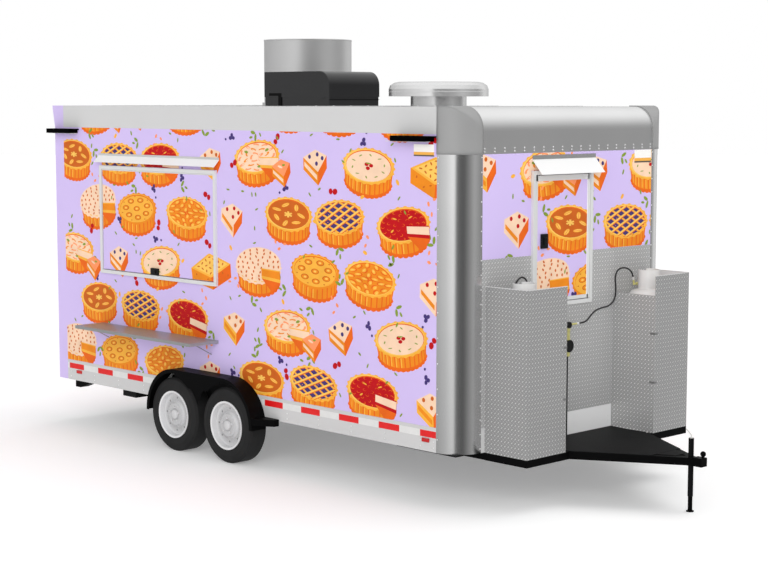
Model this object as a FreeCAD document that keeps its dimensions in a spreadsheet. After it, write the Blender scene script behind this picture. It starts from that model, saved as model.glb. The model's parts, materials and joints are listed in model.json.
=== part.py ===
import FreeCAD, Part
import math
import os
import re
import Sketcher

# Food concession trailer, in millimetres.
# +X points to the hitch, +Y to the street side, +Z up.
# The origin is on the ground, at the centre of the tongue jack's foot.

DRIVING_SIZES = {
    # body shell
    "body_width": 2590,
    "body_length": 5388,
    "roof_height": 3080,
    "rail_height": 205,
    "cap_height": 357,
    "skirt_bottom": 425,
    "skirt_height": 195,
    "post_radius": 245,
    "nose_radius": 180,
    "wall_gauge": 40,
    "skirt_gauge": 30,
    "shell_gauge": 20,
    "cap_proud": 8,
    "rear_post_width": 145,
    "header_lean": 37,
    "header_lip": 15,
    "floor_gauge": 40,
    "seat_gap": 0.3,
    # running gear
    "axle_setback": 2637,
    "axle_spacing": 745,
    "tyre_radius": 332,
    "tyre_width": 205,
    "tyre_bulge": 18,
    "bead_radius": 200,
    "tyre_standout": 144,
    "flange_radius": 212,
    "flange_seat": 2.6,
    "well_gap": 50,
    "well_depth": 105,
    "well_gauge": 10,
    "bump_travel": 95,
    "fender_radius": 400,
    "fender_centre_drop": 30,
    "fender_rise": 345,
    "fender_reach": 160,
    "fender_gauge": 4,
    "fender_lip": 35,
    "step_length": 171,
    "step_toe": 50,
    "step_top": 440,
    "step_depth": 58,
    "axle_tube_radius": 30,
    "drum_radius": 125,
    "drum_depth": 95,
    "leaf_radius": 1500,
    "leaf_gauge": 25,
    "centre_hanger": 105,
    # chassis and tongue
    "frame_setback": 445,
    "frame_bar": 50,
    "crossmember_depth": 75,
    "crossmember_pitch": 610,
    "frame_inset": 60,
    "hanger_drop": 45,
    "tongue_reach": 1210,
    "arm_margin": 14,
    "arm_width": 60,
    "arm_depth": 60,
    "arm_lap": 190,
    "tip_half": 45,
    "head_length": 110,
    "head_front": 45,
    "coupler_length": 77,
    "coupler_half": 37,
    "coupler_rise": 7,
    "ball_socket_radius": 29.7,
    "ball_socket_depth": 47,
    "clamp_knob_radius": 22,
    "clamp_stem_radius": 11,
    "clamp_stem_height": 16,
    "deck_gauge": 5,
    "deck_front": 235,
    # tongue jack
    "jack_radius": 21,
    "jack_wall": 3,
    "jack_top": 575,
    "jack_mouth": 120,
    "leg_radius": 17.5,
    "leg_top": 450,
    "foot_radius": 30,
    "foot_gauge": 8,
    "crank_radius": 5,
    "crank_stub": 20,
    "crank_length": 62,
    "crank_tilt": 49,
    # gas cages and cylinders
    "cage_depth": 434,
    "cage_inner": 556,
    "cage_outer": 1011,
    "cage_top": 1717,
    "cage_low_side": 1555,
    "plate_gauge": 3,
    "guard_top": 1920,
    "cylinder_standoff": 193,
    "cylinder_offset": 784,
    "cylinder_radius": 184,
    "cylinder_rise": 1165,
    "collar_radius": 90,
    "collar_top": 1740,
    "collar_mouth": 110,
    "valve_height": 1612,
    "union_shift": 39,
    "hose_standoff": 70,
    "hose_radius": 7,
    "hose_grommet": 18,
    "grommet_height": 1252,
    "ferrule_length": 38,
    "lean_right": 75,
    "lean_left": 78,
    "regulator_offset": 110,
    "changeover_height": 1345,
    "changeover_radius": 25,
    "regulator_height": 1175,
    "regulator_radius": 50,
    "regulator_depth": 50,
    "elbow_reach": 76,
    "arm_reach": 115,
    "elbow_drop": 36,
    "fitting_radius": 8,
    "gas_pipe_radius": 6.5,
    "stub_length": 20,
    # serving hatch and shelf
    "hatch_front": 2901,
    "hatch_width": 1734,
    "hatch_bottom": 1513,
    "hatch_drop": 351,
    "frame_member": 32,
    "frame_proud": 22,
    "leaf_gap": 6,
    "leaf_proud": 10,
    "hinge_radius": 7,
    "visor_gauge": 3,
    "side_visor_rise": 96,
    "side_visor_drop": 65,
    "side_visor_reach": 60,
    "side_visor_over": 30,
    "shelf_top": 1036,
    "shelf_gauge": 28,
    "shelf_reach": 320,
    "stay_radius": 4,
    "stay_inset": 95,
    "stay_foot_drop": 110,
    "stay_head": 200,
    # front hatch
    "front_hatch_low": -487,
    "front_hatch_width": 742,
    "front_hatch_bottom": 1498,
    "front_hatch_drop": 141,
    "front_visor_rise": 93,
    "front_visor_drop": 120,
    "front_visor_reach": 105,
    "front_visor_over": 18,
    "front_visor_shift": 27,
    # rear door
    "door_offset": 350,
    "door_width": 860,
    "door_drop": 275,
    "door_gauge": 36,
    "sill_height": 20,
    # roof
    "cooler_setback": 2974,
    "cooler_length": 888,
    "cooler_width": 620,
    "cooler_height": 310,
    "cooler_nose": 125,
    "cooler_pan": 80,
    "cooler_pan_inset": 6,
    "fan_setback": 3944,
    "fan_offset": 700,
    "fan_radius": 430,
    "fan_height": 640,
    "fan_gauge": 5,
    "curb_radius": 450,
    "curb_height": 30,
    "wheel_radius": 310,
    "blade_height": 150,
    "blade_inner": 130,
    "blade_gauge": 4,
    "wheel_lift": 45,
    "fan_hub_radius": 45,
    "motor_radius": 140,
    "motor_height": 170,
    "motor_clearance": 30,
    "strut_width": 30,
    "shaft_radius": 14,
    "vent_setback": 1480,
    "vent_neck_radius": 240,
    "vent_cap_radius": 428,
    "vent_cap_low": 85,
    "vent_cap_height": 123,
    # lights, tank and stabilizers
    "light_length": 405,
    "light_reach": 100,
    "light_depth": 30,
    "light_flange": 12,
    "light_drop": 14,
    "tank_setback": 4235,
    "tank_length": 205,
    "tank_bottom": 350,
    "tank_inset": 75,
    "lamp_width": 160,
    "lamp_height": 60,
    "lamp_depth": 12,
    "lamp_inset": 190,
    "stabilizer_setback": 5115,
    "stabilizer_inset": 155,
    "stabilizer_height": 395,
    "stabilizer_length": 360,
    "stabilizer_bar": 50,
    "pin_radius": 8,
    "pin_gap": 0.05,
    "ear_gauge": 10,
}

FRONT = "(-tongue_reach)"
REAR = "(-tongue_reach - body_length)"
SIDE = "(body_width / 2)"
SKIRT_TOP = "(skirt_bottom + skirt_height)"
FLOOR_BOTTOM = f"({SKIRT_TOP} - floor_gauge)"
RAIL_BOTTOM = "(roof_height - rail_height)"
CAP_BOTTOM = "(roof_height - cap_height)"
POST_BACK = f"({FRONT} - post_radius)"
POST_SIDE = f"({SIDE} - post_radius)"
NOSE_BACK = f"({FRONT} - nose_radius)"
NOSE_SPRING = "(roof_height - nose_radius)"
REAR_POST_FRONT = f"({REAR} + rear_post_width)"
AXLE_FRONT = f"({FRONT} - axle_setback)"
AXLE_REAR = f"({AXLE_FRONT} - axle_spacing)"
LEAF_HALF = "((axle_spacing - centre_hanger) / 2)"
WELL_FRONT = f"({AXLE_FRONT} + tyre_radius + well_gap)"
WELL_REAR = f"({AXLE_REAR} - tyre_radius - well_gap)"
WELL_TOP = "(2 * tyre_radius + bump_travel)"
WELL_SIDE = f"({SIDE} - well_depth)"
CAGE_FRONT = f"({FRONT} + cage_depth)"
GUARD_FACE = f"({FRONT} + plate_gauge)"
FRAME_INNER = f"({SIDE} - frame_setback)"
FRAME_OUTER = f"({FRAME_INNER} + frame_bar)"
WHEEL_FACE = f"({SIDE} + tyre_standout)"
HATCH_HEIGHT = f"({RAIL_BOTTOM} - hatch_drop - hatch_bottom)"
FRONT_HATCH_HEIGHT = f"({CAP_BOTTOM} - front_hatch_drop - front_hatch_bottom)"
DOOR_HEIGHT = f"({RAIL_BOTTOM} - door_drop - {SKIRT_TOP} - sill_height)"
PIVOT_SIDE = f"({SIDE} - stabilizer_inset)"

ROTATIONS = {
    "x": ((0, 1, 0), 90),
    "y": ((1, 0, 0), -90),
    "-y": ((1, 0, 0), 90),
    "z": ((0, 0, 1), 0),
}

doc = FreeCAD.newDocument("concession_trailer")
sheet = doc.addObject("Spreadsheet::Sheet", "sizes")
for row, (alias, value) in enumerate(DRIVING_SIZES.items(), start=1):
    sheet.set(f"A{row}", alias)
    sheet.set(f"B{row}", str(value))
    sheet.setAlias(f"B{row}", alias)
calculator = doc.addObject("App::FeaturePython", "calculator")
calculator.addProperty("App::PropertyFloat", "Result")
doc.recompute()

nodes = []


def with_sheet(expression):
    """The expression with each size's name pointing at its cell."""
    def pointed(word):
        return "sizes." + word.group(0) if word.group(0) in DRIVING_SIZES else word.group(0)
    return re.sub(r"[a-z_]+", pointed, str(expression))


def bind(piece, name, expression):
    piece.setExpression(name, with_sheet(expression))


def number(expression):
    """The value that an expression has now, for a sketch's first guess and for sweeps."""
    bind(calculator, "Result", expression)
    calculator.recompute()
    return calculator.Result


def box(name, x, y, z):
    """A box between low and high expressions along each axis."""
    piece = doc.addObject("Part::Box", name)
    for size, axis, (low, high) in zip(("Length", "Width", "Height"), "xyz", (x, y, z)):
        bind(piece, size, f"({high}) - ({low})")
        bind(piece, f"Placement.Base.{axis}", low)
    return piece


def cylinder(name, start, radius, height, axis="z", angle=360):
    """A cylinder, or a wedge of one, from its start along an axis."""
    piece = doc.addObject("Part::Cylinder", name)
    vector, turn = ROTATIONS[axis]
    piece.Placement = FreeCAD.Placement(FreeCAD.Vector(), FreeCAD.Rotation(FreeCAD.Vector(*vector), turn))
    bind(piece, "Radius", radius)
    bind(piece, "Height", height)
    piece.Angle = angle
    for letter, place in zip("xyz", start):
        bind(piece, f"Placement.Base.{letter}", place)
    return piece


def sphere(name, centre, radius):
    piece = doc.addObject("Part::Sphere", name)
    bind(piece, "Radius", radius)
    for letter, place in zip("xyz", centre):
        bind(piece, f"Placement.Base.{letter}", place)
    return piece


def fuse(name, *pieces):
    joined = doc.addObject("Part::MultiFuse", name)
    joined.Shapes = list(pieces)
    return joined


def cut(name, base, *tools):
    carved = doc.addObject("Part::Cut", name)
    carved.Base = base
    carved.Tool = tools[0] if len(tools) == 1 else fuse(name + "_tools", *tools)
    return carved


def common(name, first, second):
    shared = doc.addObject("Part::Common", name)
    shared.Base = first
    shared.Tool = second
    return shared


def mirrored(name, source):
    """The same piece on the other side of the centre plane."""
    other = doc.addObject("Part::Mirroring", name)
    other.Source = source
    other.Normal = FreeCAD.Vector(0, 1, 0)
    return other


def together(name, *pieces):
    """Like pieces that don't touch, kept in one sub-part."""
    group = doc.addObject("Part::Compound", name)
    group.Links = list(pieces)
    return group


def node(name, piece):
    piece.Label = name
    nodes.append((name, piece))
    return piece


def sketch_in(body, name, role):
    sketch = body.newObject("Sketcher::SketchObject", name)
    plane = [feature for feature in body.Origin.OriginFeatures if feature.Role == role][0]
    sketch.AttachmentSupport = [(plane, "")]
    sketch.MapMode = "FlatFace"
    return sketch


def draw_outline(sketch, points):
    """A closed outline of straight lines, each corner held by two bound distances."""
    spots = [FreeCAD.Vector(number(across), number(along), 0) for across, along in points]
    count = len(points)
    for index in range(count):
        sketch.addGeometry(Part.LineSegment(spots[index], spots[(index + 1) % count]), False)
    for index in range(count):
        sketch.addConstraint(Sketcher.Constraint("Coincident", index, 2, (index + 1) % count, 1))
    for index, (across, along) in enumerate(points):
        for kind, letter, spot, place in (("DistanceX", "a", spots[index].x, across),
                                          ("DistanceY", "b", spots[index].y, along)):
            held = sketch.addConstraint(Sketcher.Constraint(kind, -1, 1, index, 1, spot))
            sketch.renameConstraint(held, f"{letter}{index}")
            bind(sketch, f"Constraints.{letter}{index}", place)


def prism(name, role, points, start, length):
    """An outline pushed out: from XY_Plane upwards, from XZ_Plane towards -Y, from YZ_Plane to +X."""
    body = doc.addObject("PartDesign::Body", name)
    sketch = sketch_in(body, name + "_outline", role)
    draw_outline(sketch, points)
    bind(sketch, "AttachmentOffset.Base.z", start)
    pad = body.newObject("PartDesign::Pad", name + "_pad")
    pad.Profile = sketch
    bind(pad, "Length", length)
    return body


def revolved(name, points, centre, tilt=0):
    """An outline of (radius, height) turned about the vertical, then tilted about X."""
    body = doc.addObject("PartDesign::Body", name)
    sketch = sketch_in(body, name + "_outline", "XZ_Plane")
    draw_outline(sketch, points)
    turn = body.newObject("PartDesign::Revolution", name + "_turn")
    turn.Profile = sketch
    turn.ReferenceAxis = (sketch, ["V_Axis"])
    turn.Angle = 360
    body.Placement = FreeCAD.Placement(FreeCAD.Vector(), FreeCAD.Rotation(FreeCAD.Vector(1, 0, 0), tilt))
    for letter, place in zip("xyz", centre):
        bind(body, f"Placement.Base.{letter}", place)
    return body


# Chassis: two rails, crossmembers and spring hangers.
def chassis():
    pieces = []
    reach = f"({WELL_SIDE} - well_gauge)"
    frame_span = (f"{REAR} + frame_inset", f"{FRONT} - frame_inset")
    deep = (f"{FLOOR_BOTTOM} - crossmember_depth", FLOOR_BOTTOM)
    for side, low in (("left", FRAME_INNER), ("right", f"-{FRAME_OUTER}")):
        across = (low, f"{low} + frame_bar")
        pieces.append(box(f"rail_{side}", frame_span, across, ("skirt_bottom", FLOOR_BOTTOM)))
        drop = ("skirt_bottom - hanger_drop", "skirt_bottom")
        stops = (
            (f"{AXLE_FRONT} + {LEAF_HALF}", f"{AXLE_FRONT} + {LEAF_HALF} + frame_bar"),
            (f"{AXLE_REAR} + {LEAF_HALF}", f"{AXLE_FRONT} - {LEAF_HALF}"),
            (f"{AXLE_REAR} - {LEAF_HALF} - frame_bar", f"{AXLE_REAR} - {LEAF_HALF}"),
        )
        for place, along in enumerate(stops):
            pieces.append(box(f"hanger_{side}_{place}", along, across, drop))
    starts = [f"({FRONT} - frame_inset - frame_bar - {count} * crossmember_pitch)" for count in range(9)]
    starts.append(f"({REAR} + frame_inset)")
    for count, low in enumerate(starts):
        end = POST_SIDE if count == 0 else reach
        pieces.append(box(f"crossmember_{count}", (low, f"{low} + frame_bar"), (f"-{end}", end), deep))
    ear_gap = "(stabilizer_bar / 2 + seat_gap)"
    carrier = f"({FRONT} - stabilizer_setback)"
    pieces.append(box("stabilizer_carrier",
                      (f"{carrier} - {ear_gap} - ear_gauge", f"{carrier} + {ear_gap} + ear_gauge"),
                      (f"-{reach}", reach), deep))
    for side, sign in (("left", 1), ("right", -1)):
        edge = f"({sign} * {PIVOT_SIDE} - stabilizer_bar / 2)"
        for place, low in (("front", ear_gap), ("back", f"(-{ear_gap} - ear_gauge)")):
            start = f"({FRONT} - stabilizer_setback + {low})"
            pieces.append(box(f"ear_{side}_{place}", (start, f"{start} + ear_gauge"),
                              (edge, f"{edge} + stabilizer_bar"),
                              ("stabilizer_height - stabilizer_bar / 2", FLOOR_BOTTOM)))
        pieces.append(cylinder(f"pivot_pin_{side}",
                               (f"{FRONT} - stabilizer_setback - {ear_gap} - ear_gauge",
                                f"{sign} * {PIVOT_SIDE}", "stabilizer_height"),
                               "pin_radius", f"2 * ({ear_gap} + ear_gauge)", "x"))
    node("chassis", fuse("chassis_bars", *pieces))


# Folded rear stabilizers: each leg hangs on its pin and swings down.
def stabilizers():
    for side, sign in (("left", 1), ("right", -1)):
        outer = f"{PIVOT_SIDE} + stabilizer_bar / 2"
        inner = f"{PIVOT_SIDE} - stabilizer_length"
        across = (inner, outer) if sign > 0 else (f"-({outer})", f"-({inner})")
        bar = box(f"stabilizer_bar_{side}",
                  (f"{FRONT} - stabilizer_setback - stabilizer_bar / 2",
                   f"{FRONT} - stabilizer_setback + stabilizer_bar / 2"),
                  across,
                  ("stabilizer_height - stabilizer_bar / 2", "stabilizer_height + stabilizer_bar / 2"))
        eye = cylinder(f"stabilizer_eye_{side}",
                       (f"{FRONT} - stabilizer_setback - stabilizer_bar", f"{sign} * {PIVOT_SIDE}",
                        "stabilizer_height"),
                       "pin_radius + pin_gap", "2 * stabilizer_bar", "x")
        node(f"stabilizer_{side}", cut(f"stabilizer_leg_{side}", bar, eye))


# Tongue: two arms that spread under the body, the head and the coupler.
ARM_SLOPE = f"(({FRAME_OUTER} - arm_margin - tip_half) / (tongue_reach + arm_lap))"
ARM_SHIFT = f"(arm_width * sqrt(1 + {ARM_SLOPE} * {ARM_SLOPE}))"
ARM_TOP = "skirt_bottom"
ARM_LEVEL = ("skirt_bottom - arm_depth", "skirt_bottom")


def arm_edge(back):
    """How far out the arm's outer edge is, this far behind the jack."""
    return f"(tip_half + ({back}) * {ARM_SLOPE})"


def tongue():
    end = "(tongue_reach + arm_lap)"
    arm = prism("arm_left_body", "XY_Plane",
                [("-head_length", arm_edge("head_length")),
                 ("-head_length", f"{arm_edge('head_length')} - {ARM_SHIFT}"),
                 (f"-{end}", f"{arm_edge(end)} - {ARM_SHIFT}"),
                 (f"-{end}", arm_edge(end))],
                ARM_LEVEL[0], "arm_depth")
    node("tongue_arms", together("arm_pair", arm, mirrored("arm_right_body", arm)))

    half = [("0", "tip_half"), ("head_front", "tip_half - coupler_rise")]
    outline = ([("-head_length", arm_edge("head_length"))] + half
               + [(x, f"-({y})") for x, y in reversed(half)]
               + [("-head_length", f"-{arm_edge('head_length')}"),
                  ("-head_length", f"{ARM_SHIFT} - {arm_edge('head_length')}"),
                  (f"-({ARM_SHIFT} - tip_half) / {ARM_SLOPE}", "0"),
                  ("-head_length", f"{arm_edge('head_length')} - {ARM_SHIFT}")])
    head = prism("tongue_head", "XY_Plane", outline, ARM_LEVEL[0], "arm_depth")
    top = "(skirt_bottom + coupler_rise)"
    end = "(head_front + coupler_length)"
    nose = box("coupler_nose", ("head_front - coupler_rise", end), ("-coupler_half", "coupler_half"),
               (ARM_LEVEL[0], top))
    bore = cylinder("jack_bore", ("0", "0", f"{ARM_LEVEL[0]} - arm_depth"), "jack_radius + seat_gap",
                    "3 * arm_depth")
    ball_x = f"({end} - coupler_half)"
    socket = cylinder("ball_socket", (ball_x, "0", f"{ARM_LEVEL[0]} - arm_depth"), "ball_socket_radius",
                      "ball_socket_depth + arm_depth")
    stem = cylinder("clamp_stem", (f"{end} - clamp_knob_radius / 2", "0", f"{top} - coupler_rise"),
                    "clamp_stem_radius", "coupler_rise + clamp_stem_height")
    knob = sphere("clamp_knob", (f"{end} - clamp_knob_radius / 2", "0",
                                 f"{top} + clamp_stem_height + clamp_knob_radius - coupler_rise"),
                  "clamp_knob_radius")
    node("coupler", cut("coupler_casting", fuse("coupler_solid", head, nose, stem, knob), bore, socket))

    waist = f"min({arm_edge('-' + CAGE_FRONT)}; cage_inner - deck_gauge)"
    deck = prism("tongue_deck_body", "XY_Plane",
                 [("-deck_front", arm_edge("deck_front")),
                  (CAGE_FRONT, waist),
                  (f"{FRONT} + plate_gauge", "cage_inner - deck_gauge"),
                  (f"{FRONT} + plate_gauge", "deck_gauge - cage_inner"),
                  (CAGE_FRONT, f"-{waist}"),
                  ("-deck_front", f"-{arm_edge('deck_front')}")],
                 ARM_TOP, "deck_gauge")
    node("tongue_deck", deck)

    inside = "(cage_outer - frame_bar)"
    back = f"({CAGE_FRONT} - frame_bar)"
    base = prism("cage_base_left", "XY_Plane",
                 [(CAGE_FRONT, arm_edge(f"-{CAGE_FRONT}")), (CAGE_FRONT, "cage_outer"),
                  (FRONT, "cage_outer"), (FRONT, inside), (back, inside),
                  (back, arm_edge(f"-{back}"))],
                 ARM_LEVEL[0], "arm_depth")
    node("cage_bases", together("cage_base_pair", base, mirrored("cage_base_right", base)))


# Tongue jack: the outer tube with its crank, and the leg that slides in it.
def jack():
    tube = cylinder("jack_outer", ("0", "0", "jack_mouth"), "jack_radius", "jack_top - jack_mouth")
    hollow = cylinder("jack_hollow", ("0", "0", "jack_mouth - jack_wall"), "jack_radius - jack_wall",
                      "jack_top - jack_mouth - jack_wall")
    stub = cylinder("crank_stub_rod", ("0", "0", "jack_top - jack_wall"), "crank_radius",
                    "jack_wall + crank_stub")
    rod = cylinder("crank_rod", ("0", "0", "jack_top + crank_stub"), "crank_radius", "crank_length")
    rod.Placement.Rotation = FreeCAD.Rotation(FreeCAD.Vector(0, -1, 0), 1)
    bind(rod, "Placement.Rotation.Angle", "crank_tilt")
    bend = sphere("crank_bend", ("0", "0", "jack_top + crank_stub"), "crank_radius")
    node("jack_tube", fuse("jack_tube_body", cut("jack_shell", tube, hollow), stub, bend, rod))
    leg = cylinder("leg_rod", ("0", "0", "0"), "leg_radius", "leg_top")
    foot = cylinder("leg_foot", ("0", "0", "0"), "foot_radius", "foot_gauge")
    node("jack_leg", fuse("jack_leg_body", leg, foot))


# Floor, with notches for the wheel wells and round front corners.
def floor():
    level = (FLOOR_BOTTOM, SKIRT_TOP)
    edge = f"({SIDE} - skirt_gauge)"
    plates = [
        box("floor_main", (f"{REAR} + skirt_gauge", POST_BACK), (f"-{edge}", edge), level),
        box("floor_nose", (POST_BACK, f"{FRONT} - skirt_gauge"), (f"-{POST_SIDE}", POST_SIDE), level),
    ]
    corner = cylinder("floor_corner_left", (POST_BACK, POST_SIDE, FLOOR_BOTTOM),
                      "post_radius - skirt_gauge", "floor_gauge", "z", 90)
    plates += [corner, mirrored("floor_corner_right", corner)]
    notch = box("floor_notch_left", (WELL_REAR, WELL_FRONT), (WELL_SIDE, SIDE), level)
    node("floor_panel", cut("floor_sheet", fuse("floor_blank", *plates), notch,
                            mirrored("floor_notch_right", notch)))


# Body shell: walls, rails, posts, caps, header, roof and skirts.
def hump(name, radius, y):
    """The mudguard's outline, two arcs joined by a flat, as a solid between two Y planes."""
    low, high = y
    fore = f"({AXLE_FRONT} - fender_centre_drop)"
    aft = f"({AXLE_REAR} + fender_centre_drop)"
    tall = f"({high}) - ({low})"
    return fuse(name,
                cylinder(name + "_fore", (fore, low, "fender_rise"), radius, tall, "y"),
                cylinder(name + "_aft", (aft, low, "fender_rise"), radius, tall, "y"),
                box(name + "_flat", (aft, fore), y, ("fender_rise", f"fender_rise + {radius}")))


def wheel_arch(name):
    """What the walls and skirts leave out behind the mudguard."""
    return hump(name, "(fender_radius - fender_gauge)", (f"{SIDE} - 2 * wall_gauge", f"{SIDE} + wall_gauge"))


def side_walls():
    along = (REAR_POST_FRONT, POST_BACK)
    level = (SKIRT_TOP, RAIL_BOTTOM)
    left = box("wall_left_blank", along, (f"{SIDE} - wall_gauge", SIDE), level)
    node("wall_left", cut("wall_left_sheet", left, wheel_arch("wall_arch_left")))
    right = box("wall_right_blank", along, (f"-{SIDE}", f"wall_gauge - {SIDE}"), level)
    window = box("hatch_cut",
                 (f"{FRONT} - hatch_front - hatch_width + frame_member",
                  f"{FRONT} - hatch_front - frame_member"),
                 (f"-{SIDE} - wall_gauge", f"2 * wall_gauge - {SIDE}"),
                 ("hatch_bottom + frame_member", f"hatch_bottom + {HATCH_HEIGHT} - frame_member"))
    notch = mirrored("wall_arch_right", wheel_arch("wall_arch_source"))
    node("wall_right", cut("wall_right_sheet", right, window, notch))


DOOR_HINGE = (REAR, "door_offset + door_width / 2", f"{SKIRT_TOP} + sill_height")


def shell():
    half = (f"-{POST_SIDE}", POST_SIDE)
    front = box("front_blank", (f"{FRONT} - wall_gauge", FRONT), half, (SKIRT_TOP, CAP_BOTTOM))
    window = box("front_cut", (f"{FRONT} - 2 * wall_gauge", f"{FRONT} + wall_gauge"),
                 ("front_hatch_low + frame_member", "front_hatch_low + front_hatch_width - frame_member"),
                 ("front_hatch_bottom + frame_member",
                  f"front_hatch_bottom + {FRONT_HATCH_HEIGHT} - frame_member"))
    node("front_wall", cut("front_sheet", front, window))

    inner = (f"wall_gauge - {SIDE}", f"{SIDE} - wall_gauge")
    rear = box("rear_blank", (REAR, f"{REAR} + wall_gauge"), inner, (SKIRT_TOP, RAIL_BOTTOM))
    doorway = box("doorway_cut", (f"{REAR} - wall_gauge", f"{REAR} + 2 * wall_gauge"),
                  ("door_offset - door_width / 2 - leaf_gap", "door_offset + door_width / 2 + leaf_gap"),
                  (f"{SKIRT_TOP} + sill_height - leaf_gap",
                   f"{SKIRT_TOP} + sill_height + {DOOR_HEIGHT} + leaf_gap"))
    barrel = cylinder("door_hinge", DOOR_HINGE, "hinge_radius", DOOR_HEIGHT)
    node("rear_wall", fuse("rear_sheet", cut("rear_plain", rear, doorway), barrel))

    post = cut("post_left_shell",
               cylinder("post_outer", (POST_BACK, POST_SIDE, "skirt_bottom"), "post_radius",
                        f"{CAP_BOTTOM} - skirt_bottom", "z", 90),
               cylinder("post_inner", (POST_BACK, POST_SIDE, "skirt_bottom"),
                        "post_radius - shell_gauge", f"{CAP_BOTTOM} - skirt_bottom", "z", 90))
    node("front_posts", together("front_post_pair", post, mirrored("post_right_shell", post)))

    outer_side = (f"{SIDE} - wall_gauge", SIDE)
    back_post = fuse("back_post_left",
                     box("back_post_upper", (REAR, REAR_POST_FRONT), outer_side, (SKIRT_TOP, RAIL_BOTTOM)),
                     box("back_post_foot", (REAR, REAR_POST_FRONT), (f"{SIDE} - skirt_gauge", SIDE),
                         ("skirt_bottom", SKIRT_TOP)))
    node("rear_posts", together("rear_post_pair", back_post, mirrored("back_post_right", back_post)))

    rail = box("rail_top_left", (REAR_POST_FRONT, POST_BACK), outer_side, (RAIL_BOTTOM, "roof_height"))
    node("top_rails", together("top_rail_pair", rail, mirrored("rail_top_right", rail)))

    header = prism("header_block", "XZ_Plane",
                   [(REAR_POST_FRONT, RAIL_BOTTOM), (REAR, RAIL_BOTTOM),
                    (f"{REAR} - header_lean", "roof_height - header_lip"),
                    (f"{REAR} - header_lean", "roof_height"), (REAR_POST_FRONT, "roof_height")],
                   f"-{SIDE}", "body_width")
    hollow = box("header_hollow", (f"{REAR} + wall_gauge", f"{REAR_POST_FRONT} + wall_gauge"), inner,
                 (f"{RAIL_BOTTOM} - wall_gauge", "roof_height - wall_gauge"))
    node("rear_header", cut("header_shell", header, hollow))

    roof_level = ("roof_height - wall_gauge", "roof_height")
    node("roof_panel", fuse("roof_sheet",
                            box("roof_main", (REAR_POST_FRONT, POST_BACK), inner, roof_level),
                            box("roof_front", (POST_BACK, NOSE_BACK), half, roof_level)))


def nose_profile(name, radius, top, front_face, y):
    """A solid behind the rounded front edge, from the posts' centre line forwards."""
    low, high = y
    round_edge = cylinder(name + "_round", (NOSE_BACK, high, NOSE_SPRING), radius,
                          f"({high}) - ({low})", "-y", 90)
    face = box(name + "_face", (POST_BACK, front_face), y, (CAP_BOTTOM, NOSE_SPRING))
    back = box(name + "_back", (POST_BACK, NOSE_BACK), y, (CAP_BOTTOM, top))
    return fuse(name, round_edge, face, back)


def nose():
    half = (f"-{POST_SIDE}", POST_SIDE)
    ring = cut("nose_ring",
               cylinder("nose_outer", (NOSE_BACK, POST_SIDE, NOSE_SPRING), "nose_radius",
                        f"2 * {POST_SIDE}", "-y", 90),
               cylinder("nose_inner", (NOSE_BACK, POST_SIDE, NOSE_SPRING),
                        "nose_radius - shell_gauge", f"2 * {POST_SIDE}", "-y", 90))
    flange = box("nose_flange", (f"{FRONT} - shell_gauge", FRONT), half, (CAP_BOTTOM, NOSE_SPRING))
    node("nose_cap", fuse("nose_sheet", ring, flange))

    reach = (POST_SIDE, f"{SIDE} + cap_proud")
    tall = f"(cap_height + cap_proud)"
    outer = common("cap_outer",
                   nose_profile("cap_outer_profile", "nose_radius + cap_proud",
                                "roof_height + cap_proud", f"{FRONT} + cap_proud", reach),
                   cylinder("cap_outer_round", (POST_BACK, POST_SIDE, CAP_BOTTOM),
                            "post_radius + cap_proud", tall, "z", 90))
    inner = common("cap_inner",
                   nose_profile("cap_inner_profile", "nose_radius - shell_gauge",
                                "roof_height - shell_gauge", f"{FRONT} - shell_gauge", reach),
                   cylinder("cap_inner_round", (POST_BACK, POST_SIDE, CAP_BOTTOM),
                            "post_radius - shell_gauge", tall, "z", 90))
    cap = cut("corner_cap_left", outer, inner)
    node("corner_caps", together("corner_cap_pair", cap, mirrored("corner_cap_right", cap)))


def skirts():
    level = ("skirt_bottom", SKIRT_TOP)
    side = (f"{SIDE} - skirt_gauge", SIDE)
    long = cut("skirt_long_left", box("skirt_long_blank", (REAR_POST_FRONT, POST_BACK), side, level),
               wheel_arch("skirt_arch"))
    nose_skirt = box("skirt_nose", (f"{FRONT} - skirt_gauge", FRONT), (f"-{POST_SIDE}", POST_SIDE), level)
    tail = box("skirt_tail", (REAR, f"{REAR} + skirt_gauge"),
               (f"skirt_gauge - {SIDE}", f"{SIDE} - skirt_gauge"), level)
    node("skirts", together("skirt_set", long, mirrored("skirt_long_right", long), nose_skirt, tail))

    along = (WELL_REAR, WELL_FRONT)
    depth = (WELL_SIDE, f"{SIDE} - wall_gauge")
    blank = box("well_blank", along, depth, ("skirt_bottom", WELL_TOP))
    space = box("well_space", (f"{WELL_REAR} + well_gauge", f"{WELL_FRONT} - well_gauge"),
                (f"{WELL_SIDE} + well_gauge", f"{SIDE} + well_gauge"),
                ("skirt_bottom - well_gauge", f"{WELL_TOP} - well_gauge"))
    well = cut("well_left", blank, space)
    node("wheel_wells", together("well_pair", well, mirrored("well_right", well)))


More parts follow.
